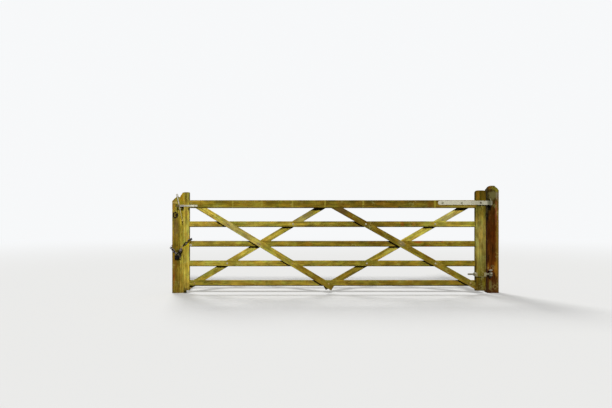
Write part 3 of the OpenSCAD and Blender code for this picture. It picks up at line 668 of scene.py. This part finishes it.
def finish_piece(work, name, material, body, smooth=None):
    """Makes the object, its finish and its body. Smooth is the angle of soft edges."""
    if smooth:
        bmesh.ops.recalc_face_normals(work, faces=work.faces)
    data = bpy.data.meshes.new(name)
    work.to_mesh(data)
    work.free()
    data.materials.append(material)
    if smooth:
        data.shade_smooth()
        data.set_sharp_from_angle(angle=math.radians(smooth))
    piece = bpy.data.objects.new(name, data)
    bpy.context.scene.collection.objects.link(piece)
    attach(piece, body)
    print(name, "faces:", len(data.polygons))
    return piece

# %% Shape a bmesh
def cut(work, place, normal, faces=None):
    """Cuts the whole piece, or the faces given, along a plane."""
    if faces is None:
        parts = work.verts[:] + work.edges[:] + work.faces[:]
    else:
        parts = faces + [e for f in faces for e in f.edges] + [v for f in faces for v in f.verts]
    bmesh.ops.bisect_plane(work, geom=list(dict.fromkeys(parts)), dist=1e-6, plane_co=place,
                           plane_no=normal)


def round_off(work, edges, offset, segments):
    """Bevels edges to a round."""
    bmesh.ops.bevel(work, geom=edges, offset=offset, segments=segments, profile=0.5,
                    affect="EDGES", material=-1)


def only(kind, parts):
    return [part for part in parts if isinstance(part, kind)]


def draw_out(work, verts, step):
    """Extrudes the face on some points, and gives the new face's points."""
    drawn = bmesh.ops.extrude_face_region(work, geom=[verts[0].link_faces[0]])["geom"]
    tops = only(bmesh.types.BMVert, drawn)
    bmesh.ops.translate(work, verts=tops, vec=step)
    return tops


def added(work, before):
    """The points that came since before."""
    return [v for v in work.verts if v not in before]

# %% [markdown]
# ## Worn arrises
#
# The solids have an even 3 mm chamfer. On the real gate the arrises are rubbed unevenly, by cattle,
# hands and rain. A copy of each timber is cut across every 25 mm, and at each cut the two edges of
# the chamfer slide along their own faces by a noise. The faces stay flat and nothing grows outwards,
# so the timber still fits its joints. The copy stands in for the solid.

# %% Cut a timber across and wear its arrises
ARRIS = 0.003
NEAR = 0.0002


def cut_across(work, half_length, step):
    """Edge loops round the timber, so that its arrises can be worn between them."""
    cuts = int(2 * half_length / step)
    for i in range(1, cuts):
        cut(work, (-half_length + i * 2 * half_length / cuts, 0, 0), (1, 0, 0))


def wear_arrises(work, half, most, seed):
    """Slides both edges of every long chamfer along their faces, by a noise."""
    for vert in work.verts:
        gap = [half[i] - abs(vert.co[i]) for i in (1, 2)]
        for flat, other in ((0, 1), (1, 0)):
            if gap[flat] < NEAR and abs(gap[other] - ARRIS) < NEAR:
                axis = other + 1
                side = math.copysign(1, vert.co[axis])
                spot = Vector((vert.co.x * 9, side * 5 + flat, seed))
                share = max(0.0, noise.noise(spot) + 0.6 * noise.noise(spot * 4.1))
                vert.co[axis] -= side * most * min(share, 1.0)

# %% [markdown]
# ## Drying splits
#
# A thick timber dries from outside, shrinks and splits open along the grain, widest at the middle of
# the split and closing at its ends. Three cuts along a face give the two lips and the floor of the
# split. The floor is pressed in and the lips close towards the ends. The line wanders a little, as
# the grain does.

# %% Open a split in one face
def open_split(work, half, face, start, end, across, width, deep, seed):
    """A split along one face: +y or -y, +z or -z, in the timber's own directions."""
    axis = "yz".index(face[1]) + 1
    side = 1 if face[0] == "+" else -1
    other = 3 - axis
    outward = Vector([side if i == axis else 0 for i in range(3)])
    level = Vector([1 if i == other else 0 for i in range(3)])
    for offset in (-width / 2, 0.0, width / 2):
        work.normal_update()
        faces = [f for f in work.faces if f.normal.dot(outward) > 0.99
                 and start < f.calc_center_median().x < end]
        cut(work, level * (across + offset), level, faces)
    for vert in work.verts:
        off = vert.co[other] - across
        inside = start < vert.co.x < end and abs(off) < width / 2 + NEAR
        if inside and abs(side * vert.co[axis] - half[axis]) < NEAR:
            swell = math.sin(math.pi * (vert.co.x - start) / (end - start)) ** 0.6
            wander = 0.006 * noise.noise(Vector((vert.co.x * 5, seed, 0.0)))
            if abs(off) < NEAR:
                vert.co[axis] -= side * deep * swell
            vert.co[other] = across + (off + wander) * swell

# %% The splits of each timber
SPLITS = {
    "hanging_post": [
        ("-y", -0.55, -0.05, 0.012, 0.0035, 0.012), ("-y", 0.10, 0.56, -0.028, 0.0025, 0.009),
        ("+z", -0.20, 0.35, 0.010, 0.003, 0.010), ("+y", -0.45, 0.40, -0.006, 0.004, 0.014),
        ("-z", -0.60, -0.10, 0.015, 0.003, 0.010)],
    "slam_post": [
        ("-y", 0.05, 0.50, 0.014, 0.003, 0.010), ("-y", -0.56, -0.22, -0.012, 0.0025, 0.008),
        ("+z", -0.30, 0.30, 0.006, 0.003, 0.010), ("+y", -0.20, 0.45, 0.004, 0.003, 0.010)],
    "heel_stile": [
        ("-y", -0.33, 0.06, 0.018, 0.0025, 0.008), ("+y", -0.20, 0.22, -0.014, 0.003, 0.009)],
    "closing_stile": [
        ("-y", 0.26, 0.40, -0.010, 0.002, 0.007), ("+y", -0.36, -0.12, 0.008, 0.0025, 0.008)],
    "top_rail": [
        ("-y", -1.30, -0.62, 0.012, 0.0025, 0.008), ("-y", 0.10, 0.62, -0.018, 0.002, 0.006),
        ("+y", -0.80, -0.05, -0.010, 0.0025, 0.008), ("+z", 0.20, 0.95, 0.006, 0.003, 0.009),
        ("+z", -1.40, -0.55, -0.008, 0.003, 0.009)],
}

# %% Make the weathered timbers
CUT_EVERY = 0.025
MOST_WEAR = 0.0045
for number, name in enumerate(TIMBERS):
    centre, half = SIZES[name]
    turned = laid(name)
    work = bmesh.new()
    work.from_mesh(nodes[name].data)
    bmesh.ops.remove_doubles(work, verts=work.verts, dist=1e-5)
    bmesh.ops.dissolve_limit(work, angle_limit=math.radians(0.5), verts=work.verts, edges=work.edges)
    bmesh.ops.translate(work, verts=work.verts, vec=-centre)
    bmesh.ops.rotate(work, verts=work.verts, matrix=turned.inverted())
    cut_across(work, half[0], CUT_EVERY)
    wear_arrises(work, half, MOST_WEAR, number * 2.7)
    for i, split in enumerate(SPLITS.get(name, [])):
        open_split(work, half, *split, seed=number + 0.37 * i)
    bmesh.ops.rotate(work, verts=work.verts, matrix=turned)
    bmesh.ops.translate(work, verts=work.verts, vec=centre)
    worn = finish_piece(work, name + "_worn", WOOD[name], BODY_OF[name])
    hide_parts(name)

# %% [markdown]
# ## Galvanised iron
#
# Hot-dip zinc starts bright and crystalline and goes to a matt, chalky grey outdoors, with darker
# stains where water stays and rust where the zinc is rubbed off. A Voronoi pattern gives the
# crystals, and soft noise the stains. The metal is only partly metallic, because its skin is a salt.

# %% The zinc group
def build_zinc():
    tree, enter, leave = new_group("zinc", {"Grime": "value", "Rust": "value"},
                                   ["Crystal", "Dirt", "Rusty", "Height"])
    place = place_on(tree)
    cells = put(tree, "TexVoronoi", {"Vector": place, "Scale": 160.0})
    stain = cloud(tree, place, 26, 4, 0.62)
    fine = cloud(tree, place, 260, 3, 0.6)
    low = calc(tree, "MULTIPLY_ADD", enter.outputs["Grime"], -0.45, 0.78)
    rust_low = calc(tree, "MULTIPLY_ADD", enter.outputs["Rust"], -0.5, 0.85)
    spots = cloud(tree, place, 60, 5, 0.7)
    rust = ease(tree, spots, rust_low, calc(tree, "ADD", rust_low, 0.1))
    return close_group(tree, leave, {
        "Crystal": luck(tree, cells),
        "Dirt": ease(tree, stain, low, calc(tree, "ADD", low, 0.22)),
        "Rusty": rust,
        "Height": calc(tree, "ADD", fine, rust),
    })


zinc = build_zinc()

# %% Iron with its skin
RUST = paint(122, 62, 26)
FRONT_FACE = -0.10


def iron_finish(name, pale, dark, grime, rust, metallic, rough, shine):
    """Iron with a zinc or oxide skin, its stains and its rust."""
    material, tree, shader = new_material(name)
    skin = use_group(tree, zinc, {"Grime": grime, "Rust": rust})
    colour = mix(tree, times(tree, skin["Crystal"], 0.35), paint(*pale), paint(*dark))
    colour = mix(tree, skin["Dirt"], colour, paint(*dark))
    colour = add_patches(tree, colour, IRON_PATCHES.get(name), FRONT_FACE)
    colour = mix(tree, skin["Rusty"], colour, RUST)
    bare = calc(tree, "MULTIPLY_ADD", skin["Rusty"], -metallic, metallic) if metallic else 0.0
    gloss = calc(tree, "MULTIPLY_ADD", skin["Dirt"], 0.2, rough)
    gloss = calc(tree, "MULTIPLY_ADD", skin["Crystal"], 0.12, gloss)
    bump = put(tree, "Bump", {"Strength": 0.6, "Distance": 0.0006, "Height": skin["Height"]})
    feed(tree, shader, {"Base Color": colour, "Metallic": bare, "Roughness": gloss,
                        "Specular IOR Level": shine, "Normal": bump.outputs[0]})
    return material

# %% The irons of this gate
RUSTY_BOLTS = ((-3.227, 0.840), (-2.836, 0.602), (-2.444, 0.364), (-2.006, 0.117), (-3.634, 0.126),
               (-0.291, 0.126))
IRON_PATCHES = {
    "strap_zinc": [
        # The dull green patch is painted shade on the knuckle, where the strap curves away from the
        # light.
        ("zinc shade", -0.18, 1.10, 0.13, 0.07, 0.7), ("dull green", -0.055, 1.10, 0.05, 0.07, 0.9),
        ("bark", -0.004, 1.10, 0.032, 0.10, 1.0)],
    "strap_bolt_zinc": [("dark stain and shade", -0.167, 1.10, 0.03, 0.03, 0.9)],
    "guide_zinc": [
        ("pale zinc", -3.64, 1.064, 0.05, 0.05, 0.6), ("lilac", -3.77, 1.064, 0.030, 0.05, 0.8),
        ("bark", -3.835, 1.064, 0.040, 0.06, 1.0)],
    "lever_zinc": [
        ("dry moss", -3.785, 0.95, 0.06, 0.09, 0.8), ("dry moss", -3.775, 0.885, 0.05, 0.06, 1.0)],
    "eye_bolt_zinc": [
        # The black bands are painted shade and shadow, the pale zinc spot a painted highlight.
        ("black", -0.038, 0.231, 0.035, 0.006, 0.8), ("black", -0.038, 0.202, 0.035, 0.010, 0.9),
        ("pale zinc", -0.030, 0.247, 0.014, 0.008, 0.5)],
    "bolt_zinc": [("tan", x, z, 0.04, 0.04, 0.9) for x, z in RUSTY_BOLTS] + [
        ("tan", -1.12, 0.602, 0.045, 0.045, 0.75)],
    "hook_iron": [
        # The black patch is painted shadow below the bottom hook, the pale one a painted highlight on
        # its cap.
        ("black", -0.038, 0.188, 0.05, 0.012, 0.8), ("pale zinc", -0.038, 0.292, 0.05, 0.012, 0.8),
        ("grey green", -0.030, 1.16, 0.05, 0.05, 0.8)],
    # The pale spot on the left strand is partly rubbed zinc and partly a painted highlight.
    "chain_steel": [("rubbed zinc and highlight", -3.917, 0.566, 0.022, 0.022, 0.7)],
    "plate_zinc": [("pale zinc", -0.232, 0.252, 0.012, 0.012, 0.5)],
}
GALVANISED = (0.4, 0.5, 0.5)
MOSSY = (0.1, 0.75, 0.5)
IRONS = {name: iron_finish(name, *facts) for name, facts in {
    "strap_zinc": ((178, 174, 153), (112, 108, 86), 0.35, 0.1, *GALVANISED),
    "strap_bolt_zinc": ((136, 134, 112), (84, 82, 62), 0.5, 0.1, *GALVANISED),
    "guide_zinc": ((172, 169, 142), (116, 112, 88), 0.3, 0.1, *GALVANISED),
    "lever_zinc": ((188, 184, 172), (138, 130, 104), 0.35, 0.15, *GALVANISED),
    "dull_zinc": ((128, 124, 100), (74, 70, 50), 0.6, 0.3, *GALVANISED),
    "eye_bolt_zinc": ((118, 112, 84), (52, 46, 30), 0.6, 0.3, *GALVANISED),
    "bolt_zinc": ((168, 160, 134), (88, 82, 56), 0.5, 0.2, *GALVANISED),
    "hook_iron": ((86, 78, 60), (40, 34, 24), 0.7, 0.45, *GALVANISED),
    "chain_steel": ((172, 160, 164), (7, 5, 7), 1.0, 0.1, 0.6, 0.28, 0.2),
    "plate_zinc": ((128, 118, 80), (90, 82, 54), 0.4, 0.15, *GALVANISED),
    "catch_iron": ((172, 148, 66), (124, 100, 40), 0.6, 0.3, *MOSSY),
    "bracket_iron": ((196, 176, 96), (150, 130, 60), 0.6, 0.2, *MOSSY),
    "strip_zinc": ((106, 98, 44), (76, 70, 26), 0.5, 0.2, *MOSSY),
    "old_iron": ((40, 30, 22), (14, 10, 8), 0.6, 0.4, 0.2, 0.75, 0.2),
    "lock_enamel": ((9, 7, 9), (3, 2, 3), 0.5, 0.15, 0.0, 0.55, 0.08),
}.items()}
IRON_OF = {
    "top_hinge_strap": "strap_zinc", "strap_bolts": "strap_bolt_zinc", "guide_loop": "guide_zinc",
    "guide_bolts": "bolt_zinc", "brace_bolts": "bolt_zinc", "rail_bolt": "bolt_zinc",
    "latch_lever": "lever_zinc", "eye_bolt_plates": "plate_zinc", "padlock_shackle": "dull_zinc",
    "eye_bolt_nuts": "dull_zinc", "latch_bracket": "bracket_iron", "latch_pin": "bracket_iron",
    "bottom_eye_bolt": "eye_bolt_zinc", "top_hook": "hook_iron", "bottom_hook": "hook_iron",
    "post_chain": "chain_steel", "lock_chain": "chain_steel", "stile_chain": "chain_steel",
    "latch_catch": "catch_iron", "post_ring": "old_iron", "ring_staple": "old_iron",
    "padlock_body": "lock_enamel",
}
for name, iron in IRON_OF.items():
    give(name, IRONS[iron])
print("iron pieces:", len(IRON_OF))

# %% [markdown]
# ## Screw thread on the bottom eye bolt
#
# The gate's drop is set with two nuts on a long threaded eye bolt. A thread is a small ridge wound
# round the rod. Here a triangle, a little higher than the rod's surface, is spun round the rod's
# axis while each step also moves it along, which draws the helix in one call.

# %% Wind the thread
def wind_thread(work, start, end, middle, radius, pitch=0.0025, steps=12):
    """A ridge of triangular section round a rod that lies along X."""
    corners = [(-0.4 * pitch, -0.0003), (0.0, 0.0007), (0.4 * pitch, -0.0003)]
    verts = [work.verts.new((start + x, middle[0], middle[1] + radius + r)) for x, r in corners]
    ridge = work.faces.new(verts)
    turns = int((end - start) / pitch)
    bmesh.ops.spin(work, geom=verts + ridge.edges[:] + [ridge], cent=(start, *middle),
                   axis=(1, 0, 0), dvec=(pitch / steps, 0, 0), angle=math.tau * turns,
                   steps=steps * turns)
    return turns


ROD = (-0.100, 0.233)
ROD_RADIUS = 0.010
work = bmesh.new()
turns = sum(wind_thread(work, start, end, ROD, ROD_RADIUS)
            for start, end in ((-0.313, -0.2515), (-0.083, -0.0625)))
bmesh.ops.holes_fill(work, edges=[e for e in work.edges if e.is_boundary], sides=4)
finish_piece(work, "eye_bolt_thread", IRONS["dull_zinc"], "gate", 40)
print("turns of thread:", turns)

# %% [markdown]
# ## Strip between the eye bolt's plates
#
# In front of the heel stile a thin flat strip joins the two plates of the eye bolt and keeps them
# from turning. Bent bars are drawn like wire: the outline of the section is extruded straight on,
# then spun round a corner, and so on. Two small helpers do one step each and hand on the outline.
# Here it runs forwards, round the stile's corner, along its front and back on the other side.

# %% Draw a bar on, and bend it
def draw_on(work, edges, step):
    """Extrudes an outline straight on and gives its new edges."""
    drawn = bmesh.ops.extrude_edge_only(work, edges=edges)["geom"]
    bmesh.ops.translate(work, verts=only(bmesh.types.BMVert, drawn), vec=step)
    return only(bmesh.types.BMEdge, drawn)


def bend_on(work, edges, centre, axis, angle, steps):
    """Spins an outline round a corner and gives its new edges."""
    ends = list(dict.fromkeys(v for e in edges for v in e.verts))
    bent = bmesh.ops.spin(work, geom=ends + edges, cent=centre, axis=axis, angle=angle, steps=steps)
    return only(bmesh.types.BMEdge, bent["geom_last"])

# %% Bend the strip round the stile
BACK, FRONT = -0.112, -0.1322
LEFT_BEND, RIGHT_BEND = -0.2312, -0.1028
STRIP_SECTION = (0.0018, 0.006, 1.0)
QUARTER = math.radians(90)
work = bmesh.new()
section = bmesh.ops.create_grid(work, x_segments=1, y_segments=1, size=0.5)["verts"]
bmesh.ops.scale(work, verts=section, vec=STRIP_SECTION)
bmesh.ops.rotate(work, verts=section, matrix=Matrix.Rotation(QUARTER, 3, "X"))
bmesh.ops.translate(work, verts=section, vec=(-0.2350, BACK, 0.210))
edges = draw_on(work, work.edges[:], (0, FRONT - BACK, 0))
edges = bend_on(work, edges, (LEFT_BEND, FRONT, 0), (0, 0, 1), QUARTER, 6)
edges = draw_on(work, edges, (RIGHT_BEND - LEFT_BEND, 0, 0))
edges = bend_on(work, edges, (RIGHT_BEND, FRONT, 0), (0, 0, 1), QUARTER, 6)
draw_on(work, edges, (0, BACK - FRONT, 0))
bmesh.ops.remove_doubles(work, verts=work.verts, dist=1e-6)
bmesh.ops.holes_fill(work, edges=[e for e in work.edges if e.is_boundary], sides=4)
finish_piece(work, "eye_bolt_strip", IRONS["strip_zinc"], "gate", 30)

# %% [markdown]
# ## Nails and screws
#
# The batten is nailed to the slam post through its side, with round flat-headed nails that rusted
# into the wood. The latch bracket has low round screws, and the catch a coach screw with a six-sided
# head. Round heads are a half profile spun about its axis. A six-sided head is a six-sided disc,
# extruded and bevelled.

# %% Heads
def spun(work, profile, steps=16):
    """Spins a half profile of (radius, height) about Z and gives its points."""
    before = set(work.verts)
    verts = [work.verts.new((radius, 0, height)) for radius, height in profile]
    edges = [work.edges.new(pair) for pair in zip(verts, verts[1:])]
    bmesh.ops.spin(work, geom=verts + edges, cent=(0, 0, 0), axis=(0, 0, 1), angle=math.tau,
                   steps=steps, use_merge=True)
    bmesh.ops.remove_doubles(work, verts=added(work, before), dist=1e-6)
    return added(work, before)


def six_sided(work, across, high):
    """A six-sided head with its top edges bevelled, standing on the plane of X and Y."""
    before = set(work.verts)
    disc = bmesh.ops.create_circle(work, cap_ends=True, segments=6, radius=across / math.sqrt(3))
    tops = draw_out(work, disc["verts"], (0, 0, high))
    rim = [e for e in work.edges if e.verts[0] in tops and e.verts[1] in tops]
    round_off(work, rim, high * 0.22, 2)
    return added(work, before)


def set_down(work, verts, place, outward, turn=0.0):
    """Moves a head to its place, with its Z turned outwards."""
    tilt = Vector(outward).to_track_quat("Z", "Y").to_matrix().to_4x4()
    spin = Matrix.Rotation(turn, 4, "Z")
    bmesh.ops.transform(work, matrix=Matrix.Translation(place) @ tilt @ spin, verts=verts)

# %% Nails in the batten
NAIL_HEIGHTS = (0.06, 0.27, 0.49, 0.72, 0.93, 1.13)
BATTEN_SIDE, BATTEN_MIDDLE = -3.745, -0.035
NAIL = [(0.0, 0.0010), (0.0030, 0.0009), (0.0045, 0.0004), (0.0048, -0.0002), (0.0046, -0.0012),
        (0.0, -0.0012)]
work = bmesh.new()
for i, height in enumerate(NAIL_HEIGHTS):
    aside = 0.010 if i % 2 else -0.010
    lean = (1, 0.12 * (i % 3 - 1), 0.08)
    set_down(work, spun(work, NAIL), (BATTEN_SIDE, BATTEN_MIDDLE + aside, height), lean)
finish_piece(work, "batten_nails", IRONS["old_iron"], "posts", 40)

# %% Screws of the bracket and of the catch
SCREW = [(0.0, 0.0015), (0.0025, 0.0014), (0.0045, 0.0009), (0.0055, 0.0), (0.0054, -0.0008),
         (0.0, -0.0008)]
BRACKET_SIDE, BRACKET_MIDDLE = -3.768, -0.110
work = bmesh.new()
for height in (0.8525, 0.9175):
    place = (BRACKET_SIDE, BRACKET_MIDDLE, height)
    set_down(work, spun(work, SCREW, 20), place, (-1, 0, 0))
finish_piece(work, "bracket_screws", IRONS["dull_zinc"], "gate", 40)

CATCH_SCREW = (-3.885, -0.0755, 1.1025)
HEAD_ACROSS, HEAD_HIGH = 0.013, 0.005
WASHER = [(0.0, 0.0), (0.0095, 0.0), (0.0098, 0.0006), (0.0092, 0.0013), (0.0, 0.0013)]
work = bmesh.new()
set_down(work, six_sided(work, HEAD_ACROSS, HEAD_HIGH), CATCH_SCREW, (0, -1, 0), 0.3)
set_down(work, spun(work, WASHER, 24), CATCH_SCREW, (0, -1, 0))
finish_piece(work, "catch_screw", IRONS["catch_iron"], "posts", 40)

# %% [markdown]
# ## Padlock
#
# A cheap strong padlock is a pile of steel plates held by four rivets, with a round plug for the key
# in its underside. The block is bevelled, cut across at each joint between plates, and the line
# between two cuts is drawn in a little. Rivet heads are spun, and the key's slot is pressed into
# the plug. It stands in for the plain solid, at the same size.

# %% The pile of plates
LOCK = Vector((-3.851, -0.0843, 0.437))
LOCK_SIZE = (0.050, 0.028, 0.046)
PLATES = 9
GROOVE = 0.0006
DRAWN_IN = (0.972, 0.95, 1.0)
work = bmesh.new()
bmesh.ops.create_cube(work, size=1.0)
bmesh.ops.scale(work, verts=work.verts, vec=LOCK_SIZE)
round_off(work, [e for e in work.edges if abs(e.verts[0].co.z - e.verts[1].co.z) > 0.04], 0.005, 3)
round_off(work, [e for e in work.edges if abs(e.verts[0].co.z - e.verts[1].co.z) < 1e-6], 0.0008, 1)
for i in range(1, PLATES):
    joint = (i / PLATES - 0.5) * LOCK_SIZE[2]
    for step in (-GROOVE, 0.0, GROOVE):
        cut(work, (0, 0, joint + step), (0, 0, 1))
    ring = [v for v in work.verts if abs(v.co.z - joint) < 1e-5]
    bmesh.ops.scale(work, verts=ring, vec=DRAWN_IN)

# %% Rivets, key plug and slot
RIVET = [(0.0, 0.0013), (0.0018, 0.0011), (0.0030, 0.0), (0.0, -0.0004)]
PLUG_RADIUS, PLUG_PROUD = 0.0065, 0.001
SLOT = (0.0008, 0.0036)
SLOT_DEEP = 0.004
underside = -LOCK_SIZE[2] / 2
for x in (-0.0185, 0.0185):
    for y in (-0.0085, 0.0085):
        set_down(work, spun(work, RIVET, 12), (x, y, underside), (0, 0, -1))
plug = bmesh.ops.create_circle(work, cap_ends=True, segments=24, radius=PLUG_RADIUS)["verts"]
bmesh.ops.translate(work, verts=plug, vec=(0, 0, underside + 0.0002))
bottom = draw_out(work, plug, (0, 0, -0.0002 - PLUG_PROUD))[0].co.z


def plug_faces():
    return [f for f in work.faces if all(abs(v.co.z - bottom) < 1e-6 for v in f.verts)]


for normal, edge in zip(((1, 0, 0), (0, 1, 0)), SLOT):
    for side in (-edge, edge):
        cut(work, Vector(normal) * side, normal, plug_faces())
middle = [f for f in plug_faces() if f.calc_center_median().xy.length < 1e-4]
deep = bmesh.ops.extrude_discrete_faces(work, faces=middle)["faces"]
bmesh.ops.translate(work, verts=deep[0].verts, vec=(0, 0, SLOT_DEEP))
bmesh.ops.translate(work, verts=work.verts, vec=LOCK)
lock = finish_piece(work, "padlock_plates", IRONS["lock_enamel"], "posts", 35)
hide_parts("padlock_body")

# %% [markdown]
# ## Spare links
#
# The chain is longer than it needs to be, so a few links hang from it beside the padlock. A link is
# a round bar bent into a long ring: a circle is drawn up along one side, spun over the top, drawn
# down the other side and spun back under the foot. Each hangs on the lower wire of the one above,
# turned a quarter.

# %% Bend a link and hang the spare ones
WIRE = 0.004
BEND = 0.010
SIDE = 0.024


def bend_link(work):
    """One link in the plane of X and Z, its long axis upright."""
    before = set(work.verts)
    ring = bmesh.ops.create_circle(work, cap_ends=False, segments=12, radius=WIRE)["verts"]
    bmesh.ops.translate(work, verts=ring, vec=(BEND, 0, -SIDE / 2))
    edges = list(dict.fromkeys(e for v in ring for e in v.link_edges))
    for way in (1, -1):
        edges = draw_on(work, edges, (0, 0, way * SIDE))
        edges = bend_on(work, edges, (0, 0, way * SIDE / 2), (0, -1, 0), math.pi, 10)
    bmesh.ops.remove_doubles(work, verts=added(work, before), dist=1e-5)
    return added(work, before)


SPARE = (((-3.8093, -0.1101, 0.4928), 50.4), ((-3.8093, -0.1101, 0.4571), -39.6),
         ((-3.7962, -0.1380, 0.5232), 53.3))
work = bmesh.new()
for place, bearing in SPARE:
    turn = Matrix.Rotation(math.radians(bearing), 4, "Z")
    bmesh.ops.transform(work, matrix=Matrix.Translation(place) @ turn, verts=bend_link(work))
finish_piece(work, "spare_links", IRONS["chain_steel"], "posts", 60)

# %% [markdown]
# ## Moss on the post
#
# The top of the hanging post is sawn to shed water, and moss grows in small cushions on the slopes
# that stay damp. Each cushion is a ball, flattened, roughened by a noise and sunk in the wood. A ray
# dropped on the post finds the height and the slope where a cushion sits.

# %% Moss finish
moss_finish, tree, shader = new_material("moss")
clumps = cloud(tree, place_on(tree), 160, 4, 0.7)
tips = cloud(tree, place_on(tree), 900, 2, 0.6)
green = mix(tree, ease(tree, clumps, 0.3, 0.7), paint(60, 62, 16), paint(124, 116, 34))
green = mix(tree, ease(tree, tips, 0.45, 0.8), green, paint(150, 140, 56))
bump = put(tree, "Bump", {"Strength": 0.9, "Distance": 0.001, "Height": tips})
feed(tree, shader, {"Base Color": green, "Roughness": 0.95, "Specular IOR Level": 0.05,
                    "Normal": bump.outputs[0]})

# %% Grow the cushions
CUSHIONS = 90
HIGHEST = 1.3095
FURTHEST = 0.0695
shape = bmesh.new()
shape.from_mesh(bpy.data.objects["hanging_post_worn"].data)
surface = BVHTree.FromBMesh(shape)
shape.free()
chance = random.Random(11)
work = bmesh.new()
grown = 0
while grown < CUSHIONS:
    x = chance.triangular(-0.060, 0.066, 0.056)
    y = chance.uniform(-0.066, 0.066)
    radius = chance.uniform(0.0025, 0.009)
    hit, normal = surface.ray_cast(Vector((x, y, 1.5)), Vector((0, 0, -1)))[:2]
    if hit.z + radius * 0.9 > HIGHEST or max(abs(x), abs(y)) + radius > FURTHEST:
        continue
    ball = bmesh.ops.create_icosphere(work, subdivisions=2, radius=radius)["verts"]
    bmesh.ops.scale(work, verts=ball, vec=(1.2, 1.0, 0.42))
    for vert in ball:
        vert.co *= 1 + 0.5 * noise.noise(vert.co * 300 + Vector((grown, 0, 0)))
    set_down(work, ball, hit - normal * radius * 0.1, normal, chance.uniform(0, math.tau))
    grown += 1
finish_piece(work, "moss_cushions", moss_finish, "posts", 80)
print("cushions:", grown)

# %% [markdown]
# ## Floor, background and light
#
# A pale floor and a pale background keep the eye on the gate. Their colour is only seen by the
# camera and by reflections, so neither throws light back on the wood. The light comes from one
# large lamp in front, about as high as an afternoon sun, from a weaker one behind and from an even
# sky. A lamp near the gate would light the floor below it much more than the gate, so both are
# thought infinitely far away, as a sun lamp is. Its angle, how large the lamp looks from the gate,
# sets how soft the shade is: at 9 degrees each rail draws a soft but clear line of shade below it.

# %% A surface that shows pale but lights nothing
def seen_directly(tree):
    """1 for rays from the camera and for reflections and refractions, 0 for soft light."""
    ray = put(tree, "LightPath").outputs
    mirrored = calc(tree, "MAXIMUM", ray["Is Glossy Ray"], ray["Is Transmission Ray"])
    return calc(tree, "MAXIMUM", ray["Is Camera Ray"], mirrored)

# %% Floor
FLOOR = (0.75, 0.75, 0.74, 1)
SHADED_FLOOR = (0.2, 0.2, 0.18, 1)
BACKDROP = (0.93, 0.94, 0.95, 1)
BLACK = (0, 0, 0, 1)
GATE_MIDDLE = Vector((-2, 0, 0))
FADE_FROM, FADE_TO = 4.5, 15.0
work = bmesh.new()
bmesh.ops.create_grid(work, x_segments=1, y_segments=1, size=40)
bmesh.ops.translate(work, verts=work.verts, vec=GATE_MIDDLE - Vector((0, 0, 0.0005)))
floor_data = bpy.data.meshes.new("floor")
work.to_mesh(floor_data)
work.free()
floor = bpy.data.objects.new("floor", floor_data)
bpy.context.scene.collection.objects.link(floor)

floor_paint, tree, shader = new_material("floor_paint")
reach = calc_vector(tree, "DISTANCE", place_on(tree), GATE_MIDDLE)
far_off = ease(tree, reach, FADE_FROM, FADE_TO)
seen = seen_directly(tree)
near_colour = mix(tree, far_off, FLOOR, BLACK)
far_glow = mix(tree, times(tree, far_off, seen), BLACK, BACKDROP)
feed(tree, shader, {"Base Color": mix(tree, seen, SHADED_FLOOR, near_colour),
                    "Emission Color": far_glow, "Emission Strength": 1.0, "Roughness": 0.95,
                    "Specular IOR Level": 0.0})
floor_data.materials.append(floor_paint)

# %% Sky
SKY = 0.20
world = bpy.data.worlds.new("studio")
bpy.context.scene.world = world
world.use_nodes = True
tree = world.node_tree
tree.nodes.clear()
soft_light = put(tree, "Background", {"Color": (1, 1, 1, 1), "Strength": SKY}).outputs[0]
backdrop = put(tree, "Background", {"Color": BACKDROP, "Strength": 1.0}).outputs[0]
either = put(tree, "MixShader", {0: seen_directly(tree), 1: soft_light, 2: backdrop}).outputs[0]
put(tree, "OutputWorld", {0: either})

# %% Lamps
def hang_lamp(name, towards, strength, angle):
    """A lamp so far away that its light arrives the same everywhere."""
    data = bpy.data.lights.new(name, "SUN")
    data.energy = strength
    data.angle = math.radians(angle)
    lamp = bpy.data.objects.new(name, data)
    lamp.rotation_euler = Vector(towards).to_track_quat("-Z", "Y").to_euler()
    bpy.context.scene.collection.objects.link(lamp)
    print(name, "strength:", strength)


hang_lamp("front_lamp", (-1.3, 14.0, -9.0), 2.97, 9)
hang_lamp("back_lamp", (2.6, -8.0, -5.4), 2.30, 22)
bpy.context.scene.view_settings.view_transform = "Standard"
